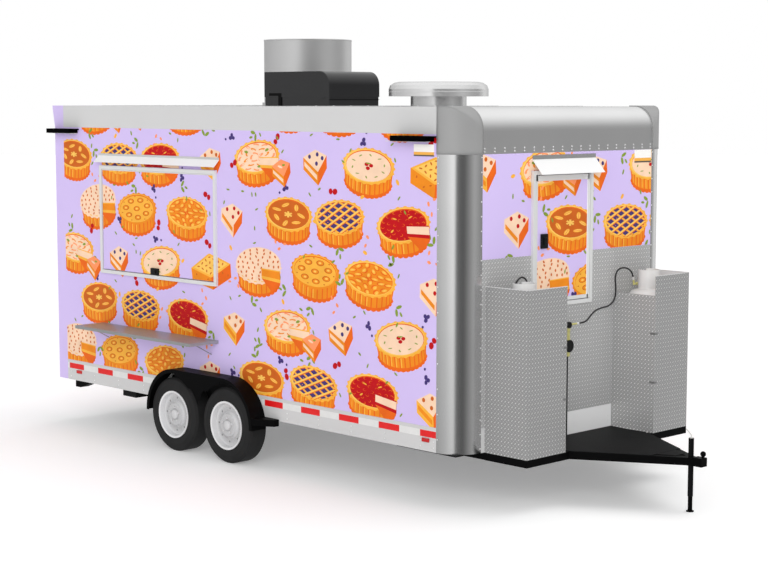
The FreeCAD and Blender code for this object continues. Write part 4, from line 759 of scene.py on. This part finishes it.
sides = (("right", -1), ("left", 1))
wear(finish("polished_aluminium", (0.80, 0.80, 0.80), 0.22, metal=1.0, tone=0.02, patch=2.0,
            grain=160, relief=0.01), "front_posts")
wear(finish("satin_aluminium", (0.88, 0.88, 0.88), 0.34, metal=1.0, tone=0.02, patch=2.0,
            grain=220, relief=0.015), "nose_cap")
cast = finish("cast_aluminium", (0.37, 0.37, 0.37), 0.50, metal=0.35, tone=0.03, patch=2.0,
              grain=260, relief=0.02)
rounded, join = shade(cast, "Bevel")
rounded.samples = 6
put(rounded, Radius=0.045)
join(rounded.outputs["Normal"],
     next(node for node in cast.node_tree.nodes if node.type == "BUMP").inputs["Normal"])
wear(cast, "corner_caps")

rivet_metal = finish("rivet_aluminium", (0.90, 0.90, 0.90), 0.30, metal=0.5, tone=0.02)
nose_seat, side_seat = nose_face + 0.0005, side_face - 0.0002
rivets("nose_cap_rivets",
       [(nose_seat, y, z) for z in (2.742, 2.766) for y in steps(-1.03, 1.03, 0.115)],
       "front", 0.0075)
rivets("front_post_rivets",
       [(nose_seat, sign * 1.060, z) for _, sign in sides for z in steps(0.46, 2.70, 0.11)],
       "front")
for side, sign in sides:
    rivets(f"side_post_rivets_{side}",
           [(-1.443, sign * side_seat, z) for z in steps(0.53, 2.70, 0.197)], side)

# White coach trim
# Painted aluminium: the side rails under the roof, the roof skin, the skirts, the frames round
# the hatches and their rain visors. The rear header is wrapped in the same vinyl as the walls.
white_trim = finish("white_coach_paint", (0.60, 0.60, 0.60), 0.35, tone=0.015, patch=1.2,
                    grain=120, relief=0.012, coat=0.2)
bright_white = finish("bright_white_paint", (0.87, 0.87, 0.87), 0.4, tone=0.01, relief=0.01)
frame_grey = finish("frame_aluminium", (0.70, 0.705, 0.70), 0.4, metal=0.1, tone=0.02)
wear(white_trim, "top_rails", "skirts", "roof_panel")
wear(finish("header_vinyl", (0.615, 0.504, 0.83), 0.42, tone=0.01, relief=0.01), "rear_header")
wear(frame_grey, "serving_hatch_frame", "front_hatch_frame")
wear(bright_white, "visors")

# Skirt details
# Red and white reflective tape along the skirts, a pressed lip over it, pairs of rivets at the
# outriggers, and a white plate with four rivets under the nose, painted a lighter white than the
# skirt as painted light for the shade between the gas cages.


def bevelled_box(low, high, ease=0.002, rounds=2):
    """A box from corner to corner with its edges eased."""
    begin()
    size = [b - a for a, b in zip(low, high)]
    centre = [(a + b) / 2 for a, b in zip(low, high)]
    bpy.ops.mesh.primitive_cube_add(size=1, location=centre)
    shape(bpy.ops.transform.resize, value=size, center_override=centre)
    if ease:
        shape(bpy.ops.mesh.bevel, offset=min(ease, min(size) * 0.45), segments=rounds,
              affect="EDGES")
    return bpy.context.object


def side_box(sign, low, high, ease=0.002, rounds=2):
    """A box on either side, whose y is given as its distance from the middle."""
    near, far = mirrored(sign, low[1], high[1])
    return bevelled_box((low[0], near, low[2]), (high[0], far, high[2]), ease, rounds)


def gather(pieces, name, body, slot, *materials):
    """Joins pieces that are one part."""
    begin()
    for piece in pieces:
        piece.select_set(True)
    bpy.context.view_layer.objects.active = pieces[0]
    if len(pieces) > 1:
        bpy.ops.object.join()
    return fix(bpy.context.object, name, body, slot, *materials)


def strip(sign, start, end, low, high, thick, ease=0.0):
    """A flat strip along a skirt."""
    return side_box(sign, (start, side_seat, low), (end, side_seat + thick, high), ease, 1)


tape_red = finish("tape_red", (0.74, 0.005, 0.006), 0.35, tone=0.05, patch=20, grain=500)
tape_white = finish("tape_white", (0.72, 0.72, 0.71), 0.35, tone=0.03, patch=20, grain=500)
# Each run of skirt: its ends, the ends of its red blocks, and where its rivets stand.
skirt_runs = (
    ((-3.525, -1.456), [*((x, x + 0.233) for x in (-3.488, -3.022, -2.556, -2.090)),
                        (-1.627, -1.456)], (-3.200, -2.808, -2.411, -2.023, -1.624, -1.484)),
    ((-6.453, -4.915), [(-6.422, -6.182), (-5.945, -5.706), (-5.469, -5.228), (-4.990, -4.921)],
     (-6.400, -6.008, -5.615, -5.222)))
for side, sign in sides:
    gather([strip(sign, *ends, 0.606, 0.619, 0.0035, 0.0015) for ends, _, _ in skirt_runs],
           f"skirt_lip_{side}", "trailer", "white_paint", white_trim)
    gather([strip(sign, *ends, 0.536, 0.590, 0.0007) for ends, _, _ in skirt_runs],
           f"tape_white_{side}", "trailer", "white_paint", tape_white)
    gather([strip(sign, *ends, 0.537, 0.589, 0.0013) for _, blocks, _ in skirt_runs
            for ends in blocks], f"tape_red_{side}", "trailer", "red_plastic", tape_red)
    rivets(f"skirt_rivets_{side}",
           [(x, sign * side_seat, z) for _, _, pairs in skirt_runs for x in pairs
            for z in (0.459, 0.505)], side, 0.007)

# The plate under the nose is painted a lighter white than the skirt: painted light lifting the
# shade between the gas cages.
nose_plate = nose_face + 0.0012
gather([bevelled_box((nose_face - 0.0002, -0.550, 0.431), (nose_plate, 0.550, 0.6185), 0.0005, 1)],
       "nose_skirt_panel", "trailer", "white_paint",
       finish("nose_panel_lifted_white", (0.90, 0.90, 0.90), 0.4, tone=0.01, relief=0.01))
rivets("nose_skirt_rivets",
       [(nose_plate + 0.0004, y, z) for y in (-0.513, 0.513) for z in (0.484, 0.522)],
       "front", 0.007)

# Tread plate
# Embossed aluminium with short raised lugs: the stone guard on the front wall, and both gas
# cylinder cages with their folded top edges and strap hinges. The serving shelf is plain plate.
(_, cage_inside, _), (cage_nose, cage_outside, cage_top) = extent("cage_left")
half_sheet = 0.0015


def tread_finish(name, plain, raised, inboard_shade_lift):
    """Rolled plate: short raised lugs, each across its neighbours, in diamond rows."""
    tread, shader = blank_material(name)
    place, axes, normal, tilt, hue, gloss, bump, grime, inner, inboard_lift_mix, join = shade(
        tread, "TexCoord", "SeparateXYZ", "NewGeometry", "SeparateXYZ", "ValToRGB", "MapRange",
        "Bump", "TexNoise", "Mix", "Mix")
    of = sums(tread)
    join(place.outputs["Object"], axes.inputs[0])
    join(normal.outputs["Normal"], tilt.inputs[0])
    level = of("GREATER_THAN", of("ABSOLUTE", tilt.outputs["Z"]), 0.5)
    upright = of("SUBTRACT", 1.0, level)
    east, north, up = axes.outputs["X"], axes.outputs["Y"], axes.outputs["Z"]
    across = of("ADD", east, of("MULTIPLY", north, upright))
    rising = of("ADD", of("MULTIPLY", up, upright), of("MULTIPLY", north, level))
    pitch, half_long, half_broad = 0.0245, 0.45, 0.12
    cell_a = of("MULTIPLY", of("ADD", across, rising), 0.7071 / pitch)
    cell_b = of("MULTIPLY", of("SUBTRACT", rising, across), 0.7071 / pitch)
    local_a = of("ABSOLUTE", of("SUBTRACT", of("FRACT", cell_a), 0.5))
    local_b = of("ABSOLUTE", of("SUBTRACT", of("FRACT", cell_b), 0.5))
    rows = of("ADD", of("FLOOR", cell_a), of("ADD", of("FLOOR", cell_b), 4000.0))
    turned = of("MODULO", rows, 2.0)
    apart = of("MULTIPLY", of("SUBTRACT", local_b, local_a), turned)
    length = of("DIVIDE", of("ADD", local_a, apart), half_long)
    breadth = of("DIVIDE", of("SUBTRACT", local_b, apart), half_broad)
    lug = of("SUBTRACT", 1.0, of("ADD", of("POWER", length, 2.0), of("POWER", breadth, 2.0)))
    lug = of("MINIMUM", of("MULTIPLY", of("MAXIMUM", lug, 0.0), 2.5), 1.0)
    # The lugs are painted much lighter than the flat sheet, and the lugs of one direction lighter
    # than those across them: painted highlight where light would catch the lugs.
    greys(hue, (0.0, plain), (1.0, raised))
    join(of("MULTIPLY", lug, of("SUBTRACT", 1.0, of("MULTIPLY", turned, 0.62))), hue.inputs["Fac"])
    aside = of("ABSOLUTE", north)
    outboard = of("MULTIPLY", of("GREATER_THAN", aside, cage_inside + half_sheet),
                  of("LESS_THAN", aside, cage_outside - half_sheet))
    behind = of("MULTIPLY", of("LESS_THAN", east, cage_nose - half_sheet),
                of("GREATER_THAN", east, -1.2))
    inner.data_type = inboard_lift_mix.data_type = "RGBA"
    inboard_lift_mix.blend_type = "MULTIPLY"
    # Inside each cage the sheet is painted pale grey in place of the tread: partly the plate's
    # plain back, partly painted light lifting the shade inside the cage.
    put(inner, B=(0.86, 0.86, 0.86, 1))
    # Painted light: faces towards the middle, from the cages' inner walls inwards, are made lighter
    # by a factor to lift the shade of the recess between the cages.
    put(inboard_lift_mix, B=(inboard_shade_lift, inboard_shade_lift, inboard_shade_lift, 1))
    join(of("MULTIPLY", outboard, behind), inner.inputs["Factor"])
    join(of("LESS_THAN", aside, cage_inside + half_sheet), inboard_lift_mix.inputs["Factor"])
    join(hue.outputs["Color"], inboard_lift_mix.inputs["A"])
    join(inboard_lift_mix.outputs["Result"], inner.inputs["A"])
    join(inner.outputs["Result"], shader.inputs["Base Color"])
    put(grime, Scale=3.0)
    join(place.outputs["Object"], grime.inputs["Vector"])
    put(gloss, To_Min=0.32, To_Max=0.46)
    join(grime.outputs["Fac"], gloss.inputs["Value"])
    join(gloss.outputs["Result"], shader.inputs["Roughness"])
    put(bump, Strength=0.5, Distance=0.002)
    join(lug, bump.inputs["Height"])
    join(bump.outputs["Normal"], shader.inputs["Normal"])
    put(shader, Metallic=0.25)
    return tread


wear(tread_finish("tread_plate", 0.315, 0.78, 1.35), "cage_left", "cage_right")
# The stone guard gets a lighter copy of the cages' plate: painted light lifting the shade of the
# recess between the cages.
wear(tread_finish("guard_plate", 0.44, 0.95, 1.05), "stoneguard")
wear(finish("shelf_plate", (0.36, 0.37, 0.37), 0.42, metal=0.5, tone=0.04, patch=2.0),
     "serving_shelf")
edging = finish("folded_edge", (0.72, 0.72, 0.72), 0.35, metal=0.3, tone=0.02)
fold_in, fold_out = 0.0045, 0.0005
for side, sign in sides:
    gather([side_box(sign, (x, y, cage_top - fold_in),
                     (cage_nose + fold_out, cage_outside + fold_out, cage_top + half_sheet),
                     0.001, 1)
            for x, y in ((-1.2065, cage_outside - fold_in),
                         (cage_nose - fold_in, cage_inside - fold_out))],
           f"cage_edge_{side}", "trailer", "silver", edging)
    gather([side_box(sign, (x, 0.5535, z - 0.009), (-0.7735, y, z + 0.009), 0.001, 1)
            for z in (0.842, 1.243) for x, y in ((-0.777, 0.592), (-0.822, 0.557))],
           f"cage_strap_{side}", "trailer", "tread_plate",
           finish(f"strap_{side}", (0.20, 0.20, 0.20), 0.5, metal=0.3))

# Black running gear
# Painted steel: the ladder chassis with its rail ends and corner feet, the tongue with a gusset
# behind the coupler, springs, axles, mudguards with their aprons, the jack in two tones and the
# flood light bars. The wheel wells are painted dark grey: painted shade for their hollow under the
# mudguards.
black_steel = finish("black_steel_paint", (0.0018, 0.0018, 0.002), 0.5, tone=0.2, patch=3.0,
                     grain=140, relief=0.04, shine=0.06)
wear(black_steel, "chassis", "tongue_arms", "coupler", "jack_leg", "axles",
     "leaf_springs", "fenders", "cage_bases", "stabilizer_left", "stabilizer_right")
wear(finish("deck_steel", (0.0052, 0.0052, 0.0055), 0.55, tone=0.15, patch=6.0, grain=90,
            relief=0.06, shine=0.06), "tongue_deck")
wear(finish("bar_black", (0.0008, 0.0008, 0.0008), 0.6, shine=0.02), "light_bars")
# Painted shade: the wheel wells are dark grey for the shade in their hollow under the mudguards.
wear(finish("well_painted_shade", (0.020, 0.020, 0.0205), 0.7, tone=0.2, patch=12.0, shine=0.15),
     "wheel_wells")

# The jack's tube is black up to its head, which is zinc.
jack_black, zinc, head_from = (0.004, 0.004, 0.0045), (0.62, 0.62, 0.60), 0.573
jack_finish = finish("jack_black_and_zinc", jack_black, 0.45, shine=0.12)
place, axes, choose, join = shade(jack_finish, "TexCoord", "SeparateXYZ", "Mix")
join(place.outputs["Object"], axes.inputs[0])
choose.data_type = "RGBA"
put(choose, A=(*jack_black, 1), B=(*zinc, 1))
join(sums(jack_finish)("GREATER_THAN", axes.outputs["Z"], head_from), choose.inputs["Factor"])
join(choose.outputs["Result"], jack_finish.node_tree.nodes["Principled BSDF"].inputs["Base Color"])
wear(jack_finish, "jack_tube")

# The gusset is a round blank trimmed along its four sides and given its thickness.
begin()
bpy.ops.mesh.primitive_circle_add(vertices=24, radius=1.2, fill_type="NGON",
                                  location=(-0.200, 0, 0.4252))
bpy.ops.object.transform_apply(location=True, rotation=True, scale=True)
bpy.ops.object.mode_set(mode="EDIT")
trim_along([(-0.300, -0.150), (-0.100, -0.058), (-0.100, 0.058), (-0.300, 0.150)])
bpy.ops.mesh.select_all(action="SELECT")
bpy.ops.mesh.extrude_region_move(TRANSFORM_OT_translate={"value": (0, 0, 0.004)})
shape(bpy.ops.mesh.normals_make_consistent, inside=False)
fix(bpy.context.object, "coupler_gusset", "trailer", "black_steel", black_steel)

for side, sign in sides:
    gather([side_box(sign, (-1.480, 0.960, 0.3655), (-1.2075, 1.0105, 0.4245), 0.003),
            side_box(sign, (-1.900, 1.120, 0.4165), (-1.255, 1.285, 0.4245), 0.003)],
           f"front_rail_end_{side}", "trailer", "black_steel", black_steel)

front_axle, rear_axle, hub_height, wheel_room = -3.847, -4.592, 0.332, 0.360


def drum(corners, radius, depth, place, ease=0.0, rounds=1, turn=(pi / 2, 0, 0)):
    """A round or many-sided bar with its edges eased, lying across the trailer unless turned."""
    begin()
    bpy.ops.mesh.primitive_cylinder_add(vertices=corners, radius=radius, depth=depth,
                                        location=place, rotation=turn)
    if ease:
        shape(bpy.ops.mesh.bevel, offset=ease, segments=rounds, affect="EDGES")
    return bpy.context.object


for side, sign in sides:
    apron = side_box(sign, (-4.540, 1.4500, 0.600), (-3.900, 1.4545, 0.743), 0.0)
    for along in (rear_axle, front_axle):
        cutter = drum(72, wheel_room, 4.0, (along, 0, hub_height))
        begin()
        apron.select_set(True)
        bpy.context.view_layer.objects.active = apron
        bpy.ops.object.modifier_add(type="BOOLEAN")
        apron.modifiers[-1].object = cutter
        apron.modifiers[-1].operation = "DIFFERENCE"
        bpy.ops.object.modifier_apply(modifier=apron.modifiers[-1].name)
        bpy.data.objects.remove(cutter)
    fix(apron, f"mudguard_apron_{side}", "trailer", "black_steel", black_steel)
    foot = side_box(sign, (-6.330, 1.200, 0.362), (-6.090, 1.2935, 0.4245), 0.003)
    shape(bpy.ops.mesh.bisect, plane_co=(-6.255, 0, 0.362), plane_no=(0.33, 0, -1), use_fill=True,
          clear_outer=True)
    fix(foot, f"corner_foot_{side}", "trailer", "black_steel", black_steel)

# Wheels
# Radial tyres on light grey pressed steel rims. Each rim's dish is pressed in by a bump in rings
# about the nearer hub, and has painted shade in rings about the same hub, darkest in its recesses.
# Each wheel has a hub cap, five nuts, and eight hand holes, dark discs of painted shade, with a
# bead round each.
tyre_rubber = finish("tyre_rubber", (0.018, 0.018, 0.0183), 0.7, tone=0.12, patch=5.0,
                     grain=220, relief=0.08, shine=0.2)
rim_paint = finish("rim_paint", (0.74, 0.74, 0.75), 0.28, tone=0.03, patch=3.0, grain=120,
                   relief=0.02, coat=0.3)
rim_radius = 0.212
place, axes, dish, rim_painted_shade, press, tint, join = shade(
    rim_paint, "TexCoord", "SeparateXYZ", "ValToRGB", "ValToRGB", "Bump", "Mix")
of = sums(rim_paint)
join(place.outputs["Object"], axes.inputs[0])
along = of("MINIMUM", of("ABSOLUTE", of("SUBTRACT", axes.outputs["X"], front_axle)),
           of("ABSOLUTE", of("SUBTRACT", axes.outputs["X"], rear_axle)))
rise = of("SUBTRACT", axes.outputs["Z"], hub_height)
from_hub = of("SQRT", of("ADD", of("POWER", along, 2.0), of("MULTIPLY", rise, rise)))
reach = of("DIVIDE", from_hub, rim_radius)
greys(dish, (0.0, 0.5), (0.44, 0.5), (0.50, 0.42), (0.58, 0.16), (0.68, 0.03), (0.78, 0.05),
      (0.88, 0.34), (0.94, 0.55), (1.0, 0.55))
# Painted shade: the rim's colour is multiplied down in rings about the hub, darkest in the dish's
# recesses.
greys(rim_painted_shade, (0.0, 1.0), (0.185, 1.0), (0.205, 0.50), (0.27, 0.66), (0.45, 0.72), (0.50, 0.95),
      (0.58, 0.60), (0.72, 0.66), (0.87, 0.88), (0.93, 1.0))
dish.color_ramp.interpolation = "B_SPLINE"
for ramp in (dish, rim_painted_shade):
    join(reach, ramp.inputs["Fac"])
put(press, Strength=1.0, Distance=0.035)
join(dish.outputs["Color"], press.inputs["Height"])
join(press.outputs["Normal"], rim_paint.node_tree.nodes["Bump"].inputs["Normal"])
tint.data_type, tint.blend_type = "RGBA", "MULTIPLY"
put(tint, Factor=1.0)
shader = rim_paint.node_tree.nodes["Principled BSDF"]
join(shader.inputs["Base Color"].links[0].from_socket, tint.inputs["A"])
join(rim_painted_shade.outputs["Color"], tint.inputs["B"])
join(tint.outputs["Result"], shader.inputs["Base Color"])
wear(tyre_rubber, "tyre_front_left", "tyre_front_right", "tyre_rear_left", "tyre_rear_right")
wear(rim_paint, "rim_front_left", "rim_front_right", "rim_rear_left", "rim_rear_right")
nut_paint = finish("nut_paint", (0.60, 0.60, 0.61), 0.22, tone=0.02, coat=0.4)
hole_shade = finish("hand_hole_shade", (0.22, 0.22, 0.22), 0.6)


def about_hub(along, across, radius, count, start):
    """Even places on a circle about a hub."""
    angles = [2 * pi * turn / count + start for turn in range(count)]
    return [(along + radius * cos(angle), across, hub_height + radius * sin(angle))
            for angle in angles]


for axle, along in (("front", front_axle), ("rear", rear_axle)):
    for side, sign in sides:
        wheel = f"wheel_{axle}_{side}"
        cap = dome(0.042, 32, 0.002, 0.30)
        cap.rotation_euler = (-sign * pi / 2, 0, 0)
        cap.location = (along, sign * 1.424, hub_height)
        fix(cap, f"hub_cap_{axle}_{side}", wheel, "rim_paint", nut_paint)
        gather([drum(6, 0.0105, 0.018, place, 0.002)
                for place in about_hub(along, sign * 1.419, 0.066, 5, 0.3)],
               f"wheel_nuts_{axle}_{side}", wheel, "rim_paint", nut_paint)
        spots = about_hub(along, sign * 1.3885, 0.146, 8, -0.03)
        gather([drum(16, 0.0115, 0.0022, spot) for spot in spots],
               f"wheel_holes_{axle}_{side}", wheel, "rim_paint", hole_shade)
        beads = []
        for spot in spots:
            bpy.ops.mesh.primitive_torus_add(major_segments=20, minor_segments=6, location=spot,
                                             major_radius=0.0125, minor_radius=0.0028,
                                             rotation=(pi / 2, 0, 0))
            bpy.ops.object.shade_smooth()
            beads.append(bpy.context.object)
        gather(beads, f"wheel_beads_{axle}_{side}", wheel, "rim_paint", nut_paint)

# Gas supply
# Two steel gas cylinders in light grey paint with black valve wheels, brass valves, and the
# regulator with its pipe and unions. Crimped collars hold the ends of the hoses.
brass = finish("valve_brass", (0.66, 0.62, 0.24), 0.36, metal=0.35, tone=0.06, patch=20)
regulator_black = finish("regulator_black", (0.008, 0.008, 0.0085), 0.4, tone=0.1, shine=0.25)
wear(finish("cylinder_paint", (0.80, 0.80, 0.79), 0.32, tone=0.03, coat=0.2), "gas_cylinders")
wear(brass, "gas_fittings")
wear(regulator_black, "regulator")


def rod(start, end, radius, corners, ease):
    """A round bar from one point to another."""
    span = [b - a for a, b in zip(start, end)]
    long = math.dist(start, end)
    bar = drum(corners, radius, long, [(a + b) / 2 for a, b in zip(start, end)], ease, 2,
               (0, math.acos(span[2] / long), math.atan2(span[1], span[0])))
    bpy.ops.object.shade_smooth_by_angle(angle=radians(35))
    return bar


collars = []
for _, route in hose_routes.values():
    for tip, inner in ((route[0], route[1]), (route[-1], route[-2])):
        span = math.dist(tip, inner)
        way = [(b - a) / span for a, b in zip(tip, inner)]
        ends = [(hose_plane, *[a + d * reach for a, d in zip(tip, way)])
                for reach in (-0.004, 0.024)]
        collars.append(rod(*ends, 0.0095, 16, 0.0015))
gather(collars, "hose_collars", "trailer", "silver", rivet_metal)
gather([rod((hose_plane, -0.110, low), (hose_plane, -0.110, high), radius, 20, 0.002)
        for low, high, radius in ((1.218, 1.240, 0.023), (1.242, 1.294, 0.020),
                                  (1.296, 1.316, 0.023), (1.092, 1.136, 0.021))],
       "regulator_unions", "trailer", "brass", brass)
knobs = []
for _, sign in sides:
    knobs.append(drum(10, 0.028, 0.016, (-1.017, sign * 0.784, 1.652), 0.005, 3, (0, 0, 0)))
    bpy.ops.object.shade_smooth_by_angle(angle=radians(35))
gather(knobs, "valve_wheels", "trailer", "black_plastic", regulator_black)

# Roof units
# A black moulded roof air conditioner with its seams, the spun steel exhaust fan, a mushroom
# vent, and the strips over the roof skin's joints with their screws.
spun_steel = finish("spun_steel", (0.70, 0.70, 0.70), 0.42, metal=0.85, tone=0.02, patch=2.0)
vent_steel = finish("vent_steel", (0.76, 0.76, 0.76), 0.20, metal=0.72, tone=0.01, patch=2.0)
wear(finish("cooler_plastic", (0.010, 0.010, 0.011), 0.22, tone=0.1, patch=3.0, grain=60,
            relief=0.01, coat=0.15), "roof_cooler")
wear(finish("galvanised_sheet", (0.45, 0.46, 0.46), 0.45, metal=0.6, tone=0.15, patch=14.0,
            grain=200, relief=0.03), "fan_wheel")
wear(spun_steel, "fan_housing")
wear(vent_steel, "roof_vent")
gather([bevelled_box((-3.7420, -0.309, 3.135), (-3.7392, 0.309, 3.1405), 0.0),
        bevelled_box((-4.432, -0.3112, 3.082), (-4.388, -0.3085, 3.172), 0.0),
        bevelled_box((-4.560, -0.3112, 3.172), (-4.388, -0.3085, 3.196), 0.0)],
       "cooler_seams", "trailer", "black_plastic",
       finish("seam_black", (0.003, 0.003, 0.003), 0.6, shine=0.1))


def ring(name, centre, radius, thick, slot, material):
    """A rolled bead round a drum, spun from its own small section."""
    begin()
    bpy.ops.mesh.primitive_circle_add(vertices=8, radius=thick, rotation=(pi / 2, 0, 0),
                                      location=(centre[0] + radius, centre[1], centre[2]))
    shape(bpy.ops.mesh.spin, steps=96, angle=2 * pi, center=centre, axis=(0, 0, 1))
    shape(bpy.ops.mesh.remove_doubles, threshold=0.0002)
    shape(bpy.ops.mesh.normals_make_consistent, inside=False)
    bpy.ops.object.shade_smooth()
    return fix(bpy.context.object, name, "trailer", slot, material)


ring("fan_top_bead", (-5.154, 0.700, 3.7135), 0.4285, 0.006, "spun_steel", spun_steel)
ring("vent_rim_bead", (-2.690, 0.0, 3.204), 0.4245, 0.005, "silver", vent_steel)
# Where each strip lies and how far left it runs: the second stops short of the exhaust fan.
# The screws keep back from its end.
roof_joints = ((-5.85, 1.253), (-4.95, 0.235), (-3.15, 1.253), (-2.15, 1.253))
strip_top, end_room = 3.0835, 0.05
rivets("roof_seam_screws", [(x, y, strip_top) for x, end in roof_joints
                            for y in steps(-1.2, 1.2, 0.2) if y < end - end_room], "top")
gather([bevelled_box((x - 0.025, -1.253, 3.0795), (x + 0.025, end, strip_top), 0.001, 1)
        for x, end in roof_joints], "roof_seam_strips", "trailer", "white_paint", white_trim)

# Lamps, floor and tank
# Tail and side lamps in red plastic, the lenses of the flood light bars, the plywood floor in
# grey vinyl and the moulded waste tank.
red_lens = finish("red_lens", (0.55, 0.01, 0.01), 0.15, tone=0.1, coat=0.5)
wear(red_lens, "rear_lamps")
wear(finish("floor_vinyl", (0.20, 0.20, 0.21), 0.6, tone=0.2, patch=30.0, grain=300),
     "floor_panel")
wear(finish("tank_plastic", (0.006, 0.006, 0.0065), 0.5, tone=0.06, shine=0.15), "water_tank")
sunk = 0.0005
for side, sign in sides:
    gather([side_box(sign, (start, side_face - sunk, 0.497), (end, 1.3080, 0.529), 0.005, 3)
            for start, end in ((-1.602, -1.524), (-6.296, -6.214))],
           f"side_lamps_{side}", "trailer", "red_plastic", red_lens)
gather([bevelled_box((start, -1.385, 2.8165), (end, -1.345, 2.8195), 0.001, 1)
        for start, end in ((-6.585, -6.150), (-1.930, -1.480))],
       "bar_lenses", "trailer", "grey_plastic",
       finish("bar_lens", (0.70, 0.70, 0.66), 0.3, coat=0.3))

# Latches, edgings and hinges
# A black zinc latch on each hatch and a paddle handle with its plate on the door. The front hatch
# has an edging and a white strip of painted highlight inside its right edging, both visors a hinge
# strip, and the door a raised surround.
latch_black = finish("latch_black", (0.006, 0.006, 0.0065), 0.42, tone=0.1, shine=0.2)
gather([bevelled_box((-5.055, -1.3245, 1.5525), (-4.942, -1.3045, 1.612), 0.004),
        bevelled_box((-5.026, -1.3345, 1.566), (-4.971, -1.3235, 1.598), 0.004)],
       "serving_hatch_latch", "serving_hatch", "black_plastic", latch_black)
gather([bevelled_box((-1.2005, -0.387, 1.968), (-1.1805, -0.310, 2.084), 0.004),
        bevelled_box((-1.1815, -0.366, 1.996), (-1.1705, -0.331, 2.056), 0.004)],
       "front_hatch_latch", "front_hatch", "black_plastic", latch_black)
gather([bevelled_box((-6.6100, -0.045, 1.440), (rear_face + sunk, 0.045, 1.590), 0.003),
        bevelled_box((-6.6300, -0.030, 1.500), (-6.6095, 0.032, 1.560), 0.006, 3)],
       "door_handle", "entry_door", "black_plastic", latch_black)
left, right, bottom, high = outline("front_hatch", 1, 0.0)
gather([bevelled_box((-1.2005, y, z), (-1.1968, far, end), 0.0006, 1) for y, far, z, end in (
            (left, left + 0.025, bottom, high), (right - 0.021, right, bottom, high),
            (left, right, bottom, bottom + 0.030), (left, right, high - 0.044, high))],
       "front_hatch_edging", "front_hatch", "white_paint", frame_grey)
# A painted highlight: a bright white strip just inside the hatch's right edging.
gather([bevelled_box((-1.2002, right - 0.029, bottom + 0.030),
                     (-1.1964, right - 0.0215, high - 0.044), 0.0006, 1)],
       "front_hatch_highlight_strip", "front_hatch", "white_paint", bright_white)
gather([bevelled_box((nose_face - 0.0002, -0.478, 2.672), (-1.2045, 0.300, 2.704), 0.001, 1)],
       "front_visor_hinge", "trailer", "silver",
       finish("hinge_grey", (0.27, 0.27, 0.27), 0.5, metal=0.2))
gather([bevelled_box((-5.875, -1.2990, 2.617), (-4.079, sunk - side_face, 2.637), 0.001, 1)],
       "side_visor_hinge", "trailer", "silver",
       finish("hinge_pale", (0.56, 0.56, 0.56), 0.5, metal=0.1))
gather([bevelled_box((-6.6020, y, z), (rear_face + sunk, far, 2.632), 0.0015, 1)
        for y, far, z in ((-0.112, -0.082, 0.640), (0.796, 0.824, 0.640), (-0.112, 0.824, 2.604))],
       "door_surround", "trailer", "white_paint", bright_white)

# Maker's stickers
# Two small vinyl stickers, left blank, on the kerb side and the front. Each is white over a
# coloured band and a dark line, whose heights are shares of the sticker's own.
sticker_white = finish("sticker_white", (0.90, 0.88, 0.84), 0.4)
sticker_band = finish("sticker_band", (0.86, 0.42, 0.06), 0.4)
sticker_line = finish("sticker_line", (0.10, 0.085, 0.07), 0.4)
for name, material, low, high in (
        ("sticker_face", sticker_white, 0.36, 1.0), ("sticker_band", sticker_band, 0.12, 0.36),
        ("sticker_line", sticker_line, 0.0, 0.12)):
    gather([bevelled_box((-1.701, -1.2985, 2.706 + 0.091 * low),
                         (-1.487, sunk - side_face, 2.706 + 0.091 * high), 0.0),
            bevelled_box((nose_face - sunk, 0.814, 2.616 + 0.106 * low),
                         (-1.2062, 1.036, 2.616 + 0.106 * high), 0.0)],
           name, "trailer", "white_paint", material)
